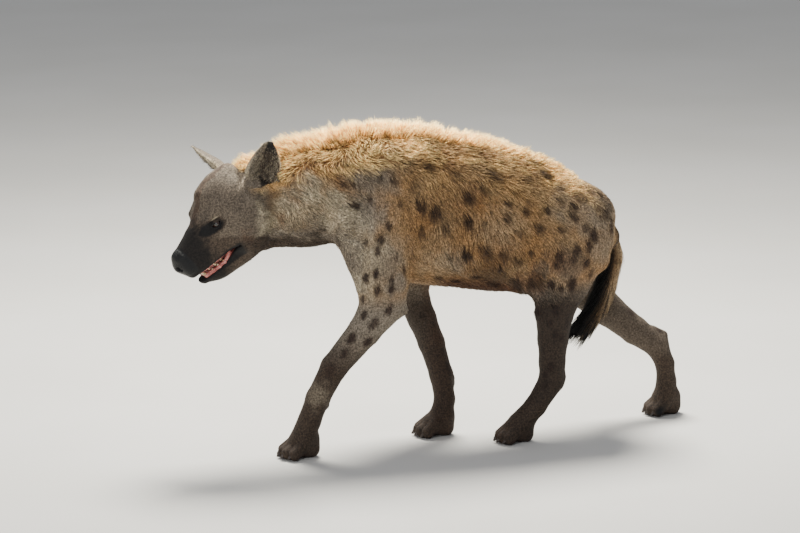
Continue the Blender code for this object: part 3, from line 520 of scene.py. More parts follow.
@dataclass(frozen=True)
class Neck:
    """The neck from the shoulders to the skull, deep and rather flat."""

    width: tuple = (0.102, 0.09, 0.08)
    depth: tuple = (0.126, 0.117, 0.106)

    def forms(self) -> list:
        """The neck's upper bundles and the throat below them."""
        wide, deep = self.width, self.depth
        return [
            Muscle((-0.2, 0.0, 0.655), (-0.31, 0.0, 0.648), (wide[0], deep[0]),
                   (wide[1], deep[1]), 0.05),
            Muscle((-0.31, 0.0, 0.648), (-0.425, -0.003, 0.634), (wide[1], deep[1]),
                   (wide[2], deep[2]), 0.05),
            Muscle((-0.3, 0.0, 0.572), (-0.43, -0.004, 0.562), (0.042, 0.036), (0.044, 0.034), 0.04),
        ]


@dataclass(frozen=True)
class Legs:
    """The four legs: place of each joint, half width and half depth, in millimetres."""

    front_left: tuple = metres(
        (-135, -60, 680, 50, 80), (-166, -86, 560, 60, 92), (-142, -100, 450, 50, 74),
        (-144, -104, 385, 45, 60), (-187, -101, 324, 40, 41), (-265, -92, 232, 33, 32),
        (-305, -83, 153, 29, 28), (-324, -73, 96, 27, 26), (-338, -65, 52, 34, 28))
    front_right: tuple = metres(
        (-105, 60, 680, 50, 80), (-115, 86, 560, 60, 90), (-50, 100, 450, 50, 72),
        (-14, 100, 392, 45, 56), (2, 95, 352, 41, 43), (22, 85, 299, 37, 36), (45, 78, 236, 32, 32),
        (69, 70, 152, 29, 28), (75, 60, 90, 26, 23), (64, 53, 50, 34, 26))
    hind_left: tuple = metres(
        (380, -60, 586, 68, 102), (355, -85, 480, 62, 98), (328, -97, 410, 54, 80),
        (310, -103, 335, 43, 51), (307, -102, 265, 35, 38), (306, -100, 205, 30, 32),
        (306, -97, 157, 28, 31), (266, -90, 92, 26, 24), (228, -82, 48, 33, 26))
    hind_right: tuple = metres(
        (395, 60, 572, 66, 98), (405, 86, 466, 60, 88), (440, 98, 372, 49, 62), (532, 97, 281, 37, 41),
        (600, 93, 225, 31, 35), (660, 89, 183, 28, 30), (682, 87, 134, 25, 22), (687, 86, 86, 24, 22),
        (681, 85, 50, 33, 25))
    blend: float = 0.028
    flesh: float = 0.0035

    def chains(self) -> dict:
        """Each leg's joints by its name."""
        names = ("front_left", "front_right", "hind_left", "hind_right")
        return {name: getattr(self, name) for name in names}

    def fuller(self, joint: tuple) -> tuple:
        """A joint with the flesh that rounds it."""
        return (*joint[:3], joint[3] + self.flesh, joint[4] + self.flesh)

    def forms(self) -> list:
        """The muscles of each leg, then elbows, hocks, heels and wrist pads."""
        chains = [Chain(tuple(map(self.fuller, chain)), self.blend) for chain in self.chains().values()]
        return chains + bundles(
            ((-112, -104, 385), (-88, -104, 368), (22, 30), (14, 16), 20),
            ((20, 100, 400), (38, 98, 385), (22, 30), (14, 16), 20),
            ((322, -97, 205), (331, -96, 166), (10, 12), (14, 14), 12),
            ((650, 89, 222), (678, 89, 208), (11, 13), (13, 14), 12),
            ((-288, -80, 143), (-283, -79, 133), (13, 13), (10, 10), 10),
            ((94, 70, 140), (97, 69, 128), (12, 12), (9, 9), 10))


@dataclass(frozen=True)
class Paw:
    """One paw: middle of the sole, the way the toes point, length and width."""

    x: float
    y: float
    heading: float
    length: float
    width: float
    toes: tuple = ((-1.5, 0.27), (-0.5, 0.365), (0.5, 0.365), (1.5, 0.27))
    toe_radius: float = 0.0165
    toe_spread: float = 0.245
    claw_length: float = 0.013

    def frame(self) -> Matrix:
        """The paw's axes: forward along the toes, across and up."""
        turn = Matrix.Rotation(math.pi + math.radians(self.heading), 4, "Z")
        return Matrix.Translation((self.x, self.y, 0.0)) @ turn

    def forms(self) -> list:
        """The pads, toes and instep."""
        length, width, frame = self.length, self.width, self.frame()
        made = [
            Muscle((-0.26 * length, 0.0, 0.02), (0.05 * length, 0.0, 0.024),
                   (0.36 * width, 0.024), (0.4 * width, 0.022), 0.012, frame=frame),
            Muscle((-0.24 * length, 0.0, 0.046), (0.1 * length, 0.0, 0.036),
                   (0.33 * width, 0.026), (0.34 * width, 0.02), 0.016, frame=frame),
        ]
        for place, forward in self.toes:
            across = place * width * self.toe_spread
            made.append(Muscle((0.02 * length, across * 0.8, 0.036),
                               (forward * length, across, 0.0155), (self.toe_radius * 0.92, 0.018),
                               (self.toe_radius * 0.9, 0.0165), 0.0045, frame=frame))
        return made


# The left and right front paw, then the left and right hind paw
PAWS = (
    Paw(-0.346, -0.062, 8.0, 0.108, 0.088),
    Paw(0.044, 0.05, 0.0, 0.106, 0.088),
    Paw(0.215, -0.079, 4.0, 0.1, 0.078),
    Paw(0.676, 0.084, 2.0, 0.096, 0.078),
)


@dataclass(frozen=True)
class Slit:
    """The almond opening between the lids of one eye, in head axes."""

    centre: Vector
    looks: Vector
    across: Vector
    up: Vector
    half: float = 0.0118
    upper: float = 0.0036
    lower: float = 0.0044
    tilt: float = -0.12
    blend: float = 0.0012
    frame: Matrix = field(default_factory=lambda: HEAD)

    def reach(self) -> tuple[Array, Array]:
        """The lowest and highest corner of the opening in the animal's axes."""
        middle = np.array(self.frame @ self.centre)
        return middle - 0.02, middle + 0.02

    def distance(self, points: Array) -> Array:
        """How far each point, in head axes, lies outside the opening."""
        offset = points - np.array(self.centre)
        along = offset @ np.array(self.across)
        high = offset @ np.array(self.up) - self.tilt * along
        bow = 1.0 - (along / self.half) ** 2
        depth = offset @ np.array(self.looks)
        return np.max([high - self.upper * bow, -self.lower * bow - high, 0.004 - depth], axis=0)


@dataclass(frozen=True)
class Face:
    """Skull, jaw, brows, lips, nose and lids, all in head axes; skull and jaw in millimetres."""

    skull: tuple = metres(
        (-135, 136, 12, 66), (-95, 168, -20, 78), (-57, 179, -30, 84), (-10, 167, -27, 78),
        (26, 145, -18, 62), (55, 124, -8, 49), (92, 105, 7, 41), (120, 96, 17, 36), (138, 91, 30, 26))
    jaw: tuple = metres(
        (-60, 30, -40, 60), (-10, 30, -49, 55), (40, 28, -44, 43), (85, 28, -36, 33),
        (116, 28, -19, 21))
    eye_radius: float = 0.0125
    eye_place: tuple = (0.016, 0.0485, 0.104)
    eye_looks: tuple = (0.42, 0.9, 0.12)
    lid_half: float = 0.0112
    lid_tilt: float = 0.12
    lip_line: float = 0.0225
    mouth_corner: float = 0.01
    mouth_open: float = 0.0225

    def forms(self) -> list:
        """Skull, jaw, cheeks, brows, lips and the pads of the muzzle."""
        made = [
            Barrel(self.skull, square=2.3, end=0.014, blend=0.02, frame=HEAD),
            Barrel(self.jaw, square=2.4, end=0.016, blend=0.01, frame=HEAD),
        ]
        return made + bundles(
            ((-100, 0, 164), (-12, 0, 160), (24, 18), (26, 13), 30),
            ((70, 0, 98), (128, 0, 80), (21, 18), (20, 16), 20),
            ((128, 0, 73), (139, 0, 64), (24.5, 24), (21, 21), 10),
            frame=HEAD) + paired(
            ((-65, 55, 60), (-30, 52, 10), (34, 46), (30, 40), 30),
            ((-85, 68, 96), (10, 52, 82), (18, 16), (14, 14), 20),
            ((-12, 48, 132), (28, 40, 124), (16, 12), (13, 10), 14),
            ((50, 36, 40), (132, 21, 46), (15, 22), (17, 24), 14),
            ((-112, 50, 104), (-90, 40, 100), (27, 27), (34, 36), 30),
            frame=HEAD)

    @staticmethod
    def on(place: tuple, side: int) -> tuple:
        """The place on the head's left for side 1 and on its right for side -1."""
        return (place[0], place[1] * side, place[2])

    def hollows(self) -> list:
        """The mouth, the hollows before the eyes, the sockets and the nostrils."""
        corner, line, gape = self.mouth_corner, self.lip_line, self.mouth_open
        made = [Barrel(((corner, line + 0.0005, line - 0.0015, 0.12),
                        (corner + 0.04, line + 0.001, line - 0.0185, 0.12),
                        (corner + 0.085, line + 0.001, line - gape, 0.12),
                        (0.19, line + 0.001, line - gape, 0.12)),
                       square=6.0, end=0.004, blend=0.004, frame=HEAD),
                Muscle((0.162, 0.0, 0.062), (0.155, 0.0, 0.03), (0.0012, 0.003), (0.0014, 0.003),
                       0.003, frame=HEAD)]
        return made + paired(
            ((50, 66, 97), (22, 64, 104), (14, 12), (16, 12), 14),
            ((166, 11.5, 66), (144, 13, 68), (5.8, 6.2), (4.2, 4.8), 3),
            ((152, 18, 60), (140, 22.5, 66), (3, 3), (2.2, 2.4), 3),
            frame=HEAD)

    def eye_axes(self, side: int) -> tuple:
        """The middle of one eye, the way it looks, along the lids and up.

        Args:
            side: 1 for the left eye and -1 for the right one.

        Returns:
            Four vectors in head axes.
        """
        centre = Vector(self.on(self.eye_place, side))
        looks = Vector(self.on(self.eye_looks, side)).normalized()
        across = Vector((0.0, 0.0, 1.0)).cross(looks).normalized()
        across = -across if across.x < 0 else across
        up = looks.cross(across)
        return centre, looks, across, (up if up.z > 0 else -up)

    def lids(self) -> list:
        """The swelling of both lids over each eye, with the fold of the upper one."""
        made = []
        for side in SIDES:
            centre, looks, across, up = self.eye_axes(side)
            radius = self.eye_radius + 0.0014
            made.append(Muscle(tuple(centre), tuple(centre + looks * 0.0006), (radius, radius),
                               (radius, radius), 0.006, frame=HEAD))
            for raised, thick in ((0.0078, 0.0031), (-0.0082, 0.0022)):
                fold = []
                for i in range(7):
                    turn = math.pi * (0.08 + 0.84 * i / 6)
                    rise, level = raised * math.sin(turn), self.lid_half * math.cos(turn)
                    out = math.sqrt(radius**2 - rise**2 - level**2)
                    fold.append(centre + across * level + looks * (out + 0.0002)
                                + up * (rise - self.lid_tilt * self.lid_half * math.cos(turn)))
                for start, end in zip(fold, fold[1:]):
                    made.append(Muscle(tuple(start), tuple(end), (thick, thick), (thick, thick),
                                       0.004, tuple(up), HEAD))
        return made

    def slits(self) -> list:
        """The openings between the lids."""
        return [Slit(*self.eye_axes(side)) for side in SIDES]


@dataclass(frozen=True)
class Ear:
    """A rounded cup on a short stem: root, tip and the way it opens, in head axes."""

    root: tuple
    tip: tuple
    opens: tuple
    spread: float = 0.043
    outside: tuple = (
        (-0.2, 0.012, -0.015, 0.74),
        (0.1, 0.013, -0.019, 0.98),
        (0.34, 0.01, -0.018, 1.02),
        (0.6, 0.006, -0.013, 0.84),
        (0.8, 0.003, -0.009, 0.58),
        (0.91, 0.001, -0.006, 0.36),
    )
    inside: tuple = (
        (0.1, 0.04, -0.01, 0.58),
        (0.34, 0.04, -0.0135, 0.88),
        (0.6, 0.04, -0.0085, 0.71),
        (0.81, 0.04, -0.0045, 0.44),
    )

    @property
    def height(self) -> float:
        """The ear's height from root to tip."""
        return (Vector(self.tip) - Vector(self.root)).length

    def frame(self) -> Matrix:
        """The matrix from the ear's axes, which are up, across and out of the cup."""
        up = (Vector(self.tip) - Vector(self.root)).normalized()
        opens = Vector(self.opens)
        opens = (opens - opens.dot(up) * up).normalized()
        frame = Matrix((up, opens.cross(up), opens)).transposed().to_4x4()
        frame.translation = Vector(self.root)
        return HEAD @ frame

    def local(self, points: Array) -> Array:
        """The same places in the ear's axes."""
        return carried(points, np.array(self.frame().inverted()))

    def forms(self) -> list:
        """The ear's shell."""
        outer, inner = (
            tuple((place * self.height, front, back, wide * self.spread)
                  for place, front, back, wide in rows)
            for rows in (self.outside, self.inside))
        return [Cup(Barrel(outer, square=2.2, end=0.01, frame=self.frame()),
                    Barrel(inner, square=2.2, end=0.009, frame=self.frame()))]


EARS = (Ear((-0.13, 0.06, 0.104), (-0.197, 0.118, 0.196), (0.1, 1.0, 0.05)),
        Ear((-0.104, -0.052, 0.132), (-0.094, -0.118, 0.222), (0.93, -0.45, 0.02)))


@dataclass(frozen=True)
class TailBone:
    """The tail below its hair: places along its middle and half sizes, in millimetres."""

    joints: tuple = metres(
        (480, 0, 560, 23, 24), (501, 0, 500, 20, 21), (502, 0, 440, 20, 22), (492, 0, 385, 20, 24),
        (474, 0, 340, 16, 22), (460, 0, 312, 9, 12))
    share: float = 0.52

    def forms(self) -> list:
        """The tail's flesh, about half as thick as its bush."""
        slim = tuple((*joint[:3], joint[3] * self.share, joint[4] * self.share)
                     for joint in self.joints)
        return [Chain(slim, blend=0.016)]


@dataclass(frozen=True)
class View:
    """The camera that sees the animal as the photograph does, in the animal's axes."""

    turn: float = math.radians(18.0)
    height: float = math.radians(12.0)
    distance: float = 12.0
    lens: float = 216.0
    sensor: float = 36.0
    size: tuple = (800, 533)
    target: tuple = (-0.06306, 0.00189, 0.45391)

    def axes(self) -> tuple[Vector, Vector, Vector]:
        """The camera's right, up and back."""
        back = Vector((-math.sin(self.turn) * math.cos(self.height),
                       -math.cos(self.turn) * math.cos(self.height), math.sin(self.height)))
        right = Vector((0.0, 0.0, 1.0)).cross(back).normalized()
        return right, back.cross(right), back

    def place(self) -> Vector:
        """Where the camera stands."""
        return Vector(self.target) + self.axes()[2] * self.distance

    def ray(self, across: float, down: float) -> Vector:
        """The direction seen at a place of the picture, counted from its upper left corner."""
        right, up, back = self.axes()
        focus = self.lens / self.sensor * self.size[0]
        return (right * (across - self.size[0] / 2) - up * (down - self.size[1] / 2)
                - back * focus).normalized()


@dataclass
class Skin:
    """The whole skin as one mesh: coarser on the body, finer on the head and the paws."""

    body_step: float = 0.006
    head_step: float = 0.0024
    paw_step: float = 0.0025
    neck_seam: float = -0.342
    paw_seam: float = 0.086
    paw_reach: float = 0.09
    sole: float = 0.0004
    band: float = 0.03
    anatomy: Anatomy = field(default_factory=Anatomy)
    points: Array = empty(0, 3)
    normals: Array = empty(0, 3)
    triangles: Array = empty(0, 3, kind=int)
    faces: list = field(default_factory=list)

    def press(self) -> None:
        """Fills the anatomy with all its forms."""
        trunk, face = Trunk(), Face()
        self.anatomy.add(trunk.forms() + Neck().forms() + Legs().forms())
        for paw in PAWS:
            self.anatomy.add(paw.forms())
        self.anatomy.add(trunk.hollows(), carve=True)
        self.anatomy.add(TailBone().forms())
        self.anatomy.add(face.forms())
        self.anatomy.add(face.hollows(), carve=True)
        self.anatomy.add(face.lids())
        self.anatomy.add(face.slits(), carve=True)
        for ear in EARS:
            self.anatomy.add(ear.forms())

    @staticmethod
    def depth(points: Array) -> Array:
        """How deep the skin lies under the tips of the coat."""
        low = ease(0.46, 0.22, points[:, 2])
        deep = blend(blend(np.full(len(points), 0.0075), 0.0028, low), 0.0012,
                     ease(0.2, 0.07, points[:, 2]))
        head = in_head(points)
        near = ease(-0.395, -0.45, points[:, 0]) * ease(0.36, 0.42, points[:, 2])
        deep = blend(deep, 0.003, near)
        face = near * ease(-0.1, 0.0, head[:, 0])
        deep = blend(deep, 0.001, face)
        for ear in EARS:
            up, side, out = ear.local(points).T
            inside = (np.abs(side) < 0.055) & (np.abs(out) < 0.035)
            share = up / ear.height
            deep = blend(deep, 0.0005, inside * ease(0.1, 0.32, share) * ease(1.4, 1.3, share))
        tail = ease(0.466, 0.482, points[:, 0]) * ease(0.05, 0.04, np.abs(points[:, 1]))
        deep = blend(deep, 0.0005, tail * ease(0.575, 0.545, points[:, 2]))
        return deep * (1.0 - ease(0.122, 0.132, head[:, 0]) * near * ease(0.036, 0.046, head[:, 2]))

    def net(self, low: tuple, high: tuple, step: float, keep) -> tuple[Array, Array]:
        """The skin inside one block, at the coat's depth."""
        value = self.anatomy.grid(low, high, step)
        axes = [low[i] + step * np.arange(value.shape[i]) for i in range(3)]
        near = np.abs(value) < self.band
        index = np.argwhere(near)
        places = np.stack([axes[i][index[:, i]] for i in range(3)], axis=1)
        value[near] += self.depth(places)
        return surface_net(value, low, step, keep)

    def blocks(self) -> list:
        """The body, the head and the four paws as separate nets that end at the seams."""
        made = [self.net((-0.36, -0.2, 0.06), (0.76, 0.2, 0.82), self.body_step,
                         lambda at: (at[:, 0] > self.neck_seam) & (at[:, 2] > self.paw_seam)),
                self.net((-0.71, -0.2, 0.42), (self.neck_seam + 0.01, 0.18, 0.84), self.head_step,
                         lambda at: (at[:, 0] < self.neck_seam - 0.002) & (at[:, 2] > 0.43))]
        for paw in PAWS:
            long, wide = self.paw_reach, self.paw_reach * 0.8
            made.append(self.net((paw.x - long, paw.y - wide, -0.02),
                                 (paw.x + long, paw.y + wide, self.paw_seam + 0.01),
                                 self.paw_step, lambda at: at[:, 2] < self.paw_seam - 0.001))
        return made

    def build(self) -> None:
        """Draws all the nets, zips them into one mesh and settles its points."""
        self.press()
        shape = bmesh.new()
        for points, faces in self.blocks():
            verts = [shape.verts.new(point) for point in points]
            for face in faces:
                shape.faces.new([verts[i] for i in face])
        for first, second in self.rims(shape):
            bmesh.ops.bridge_loops(shape, edges=first + second)
        self.refine(shape)
        shape.verts.index_update()
        start = np.array([vert.co for vert in shape.verts])
        self.points, self.normals = self.anatomy.settle(start, self.depth)
        self.points[:, 2] = np.maximum(self.points[:, 2], self.sole)
        self.faces = [[vert.index for vert in face.verts] for face in shape.faces]
        shape.free()
        self.triangles = np.array([(face[0], face[i], face[i + 1])
                                   for face in self.faces for i in range(1, len(face) - 1)])

    def rims(self, shape: bmesh.types.BMesh) -> list:
        """Pairs of open rims that face each other across a seam."""
        left = {edge for edge in shape.edges if len(edge.link_faces) == 1}
        rims = []
        while left:
            rim, front = [], [left.pop()]
            while front:
                edge = front.pop()
                rim.append(edge)
                for vert in edge.verts:
                    for other in vert.link_edges:
                        if other in left:
                            left.discard(other)
                            front.append(other)
            rims.append(rim)
        middles = [sum((vert.co for edge in rim for vert in edge.verts), Vector()) / (2 * len(rim))
                   for rim in rims]
        pairs, used = [], set()
        for i, rim in enumerate(rims):
            others = [j for j in range(len(rims)) if j > i and j not in used]
            if i in used or not others:
                continue
            best = min(others, key=lambda j: (middles[i] - middles[j]).length)
            if (middles[i] - middles[best]).length < self.band:
                used |= {i, best}
                pairs.append((rim, rims[best]))
        return pairs

    @staticmethod
    def refine(shape: bmesh.types.BMesh) -> None:
        """Splits the faces round the eyes, the nostrils and the lips once more."""
        centres = [HEAD @ Vector(Face.on(Face().eye_place, side)) for side in SIDES]
        nose = HEAD @ Vector((0.146, 0.0, 0.064))
        edges = [edge for edge in shape.edges
                 if edge.verts[0].co.x < -0.45 and edge.verts[0].co.z > 0.4
                 and (min((edge.verts[0].co - centre).length for centre in centres) < 0.026
                      or (edge.verts[0].co - nose).length < 0.03)]
        bmesh.ops.subdivide_edges(shape, edges=edges, cuts=1, use_grid_fill=True)


def shade(red: float, green: float, blue: float) -> tuple:
    """A colour as the eye reads it, 0 to 255, turned into light."""
    return tuple(((value / 255 + 0.055) / 1.055) ** 2.4 for value in (red, green, blue)) + (1.0,)


class Tone(IntEnum):
    """The colours that patches of the coat turn to, by their place among the marks."""

    GREY = 0
    PALE = 1
    RUST = 2
    DARK = 3
    BLACK = 4
    GOLD = 5
    SPOT = 6
    BARE = 7
    MOUTH = 8


@dataclass(frozen=True)
class Patch:
    """A soft patch of colour, placed where the camera sees it on the near side."""

    across: float
    down: float
    size: float
    tone: Tone
    strength: float
    both_sides: bool = True


# Patches by tone: across and down the picture, size in millimetres, strength in per cent
PATCH_ROWS = (
    (Tone.GREY, (
        (372, 172, 75, 85), (392, 152, 50, 50), (362, 214, 70, 95), (384, 262, 70, 70),
        (600, 212, 80, 80), (572, 206, 60, 60), (604, 244, 60, 60), (570, 268, 50, 50),
        (455, 262, 40, 55), (320, 226, 50, 85), (285, 230, 40, 75), (345, 236, 35, 85),
        (396, 286, 40, 85), (350, 256, 40, 80), (545, 268, 30, 60))),
    (Tone.PALE, (
        (345, 214, 42, 75), (358, 232, 45, 50), (268, 224, 32, 90), (262, 212, 18, 100),
        (310, 192, 45, 92), (332, 202, 34, 92), (300, 212, 45, 55), (322, 196, 40, 50),
        (436, 262, 45, 25), (368, 286, 45, 50), (372, 256, 40, 50), (576, 180, 45, 45),
        (500, 225, 60, 25), (290, 205, 40, 80), (332, 216, 45, 60))),
    # Dark patches: dark hair on the back and haunch, with painted shade under the neck and along the lower
    # belly.
    (Tone.DARK, (
        (318, 232, 28, 65), (300, 238, 20, 65), (575, 262, 50, 48), (490, 275, 55, 64),
        (452, 281, 30, 25), (436, 216, 60, 16), (335, 240, 26, 50), (300, 243, 20, 70),
        (280, 244, 14, 70), (340, 232, 16, 40), (480, 290, 22, 50), (540, 287, 30, 60),
        (560, 150, 12, 40), (440, 150, 50, 42), (480, 158, 50, 42), (522, 166, 45, 36),
        (450, 284, 28, 45), (480, 286, 30, 55), (512, 288, 32, 60), (536, 284, 28, 60),
        (545, 258, 18, 50), (540, 272, 20, 60), (552, 246, 16, 35), (608, 206, 26, 35),
        (352, 262, 45, 22), (388, 150, 40, 25), (305, 227, 34, 32), (385, 270, 45, 26),
        (376, 300, 50, 26))),
    (Tone.RUST, (
        (246, 237, 16, 40), (310, 168, 30, 60), (294, 200, 18, 50), (283, 216, 13, 40),
        (330, 172, 30, 40), (450, 152, 50, 50), (485, 152, 50, 50), (470, 192, 40, 35),
        (536, 168, 45, 35), (470, 286, 35, 70), (505, 288, 45, 80), (530, 284, 40, 50),
        (562, 262, 30, 30), (500, 250, 50, 25), (598, 188, 30, 45))),
    # Black patches round the near eye: partly dark hair, partly painted shade under the brow.
    (Tone.BLACK, (
        (210, 228, 14, 70), (205, 222, 11, 50))),
)
PATCHES = tuple(Patch(across, down, size / 1000, tone, strength / 100)
                for tone, rows in PATCH_ROWS for across, down, size, strength in rows)
PATCHES += (Patch(320, 396, 0.036, Tone.PALE, 0.45, both_sides=False),)

# Spots of the near side: across and down the picture, size, and how dark, in tenths
SPOTS = (
    (354, 206, 8, 10), (370, 200, 6, 9), (353, 184, 7, 8), (342, 185, 6, 8), (380, 177, 6, 5),
    (394, 181, 7, 6), (389, 226, 7, 9), (381, 240, 8, 9), (377, 251, 7, 9), (366, 278, 7, 10),
    (376, 274, 7, 10), (378, 291, 8, 10), (392, 289, 7, 10), (392, 280, 6, 8), (421, 206, 8, 9),
    (435, 213, 8, 9), (429, 168, 7, 7), (468, 198, 9, 8), (468, 221, 8, 10), (467, 254, 8, 10),
    (446, 229, 6, 5), (408, 162, 5, 5), (366, 242, 5, 6), (396, 258, 5, 7), (404, 271, 6, 8),
    (400, 204, 6, 5), (439, 278, 7, 8), (456, 281, 7, 9), (475, 277, 7, 8), (495, 177, 9, 7),
    (483, 189, 8, 6), (507, 204, 6, 8), (506, 219, 6, 8), (525, 210, 6, 8), (547, 210, 6, 9),
    (539, 229, 7, 8), (561, 230, 5, 6), (537, 165, 9, 7), (546, 176, 9, 9), (580, 197, 9, 7),
    (574, 206, 6, 9), (574, 216, 7, 8), (588, 228, 5, 6), (611, 229, 6, 9), (594, 236, 8, 10),
    (589, 245, 7, 9), (577, 250, 6, 9), (560, 257, 7, 9), (557, 265, 6, 7), (587, 263, 6, 9),
    (591, 274, 5, 7), (485, 251, 8, 7), (505, 254, 7, 7), (530, 252, 6, 7), (500, 268, 7, 9),
    (517, 261, 6, 7), (592, 193, 5, 6), (600, 195, 6, 6), (601, 212, 9, 4), (503, 165, 6, 4),
    (516, 194, 5, 4), (363, 299, 6, 9), (389, 310, 8, 10), (364, 315, 7, 9), (374, 324, 9, 9),
    (352, 338, 8, 10), (368, 342, 8, 10), (344, 354, 7, 9), (330, 371, 10, 6), (422, 317, 5, 5),
    (434, 323, 5, 5), (443, 351, 5, 4), (551, 285, 8, 10), (561, 288, 6, 9), (572, 285, 8, 10),
    (537, 312, 7, 8), (556, 310, 8, 10), (550, 323, 6, 8), (567, 323, 6, 7), (555, 335, 7, 10),
    (562, 338, 5, 9), (542, 348, 5, 6), (551, 367, 7, 10), (545, 375, 6, 8), (545, 386, 6, 7),
    (558, 259, 5, 7), (574, 259, 5, 7), (592, 273, 5, 7), (420, 232, 6, 5), (412, 190, 6, 4),
    (455, 175, 7, 4), (520, 232, 6, 4), (450, 258, 5, 5), (525, 180, 6, 4), (560, 188, 6, 4),
    (485, 225, 6, 3), (348, 165, 6, 4), (365, 155, 5, 3), (494, 284, 10, 7), (516, 283, 12, 7),
    (531, 283, 8, 6), (599, 187, 6, 6), (560, 201, 5, 6), (607, 198, 6, 6), (606, 214, 7, 6),
    (611, 222, 5, 6), (585, 228, 6, 6), (416, 183, 5, 4),
)


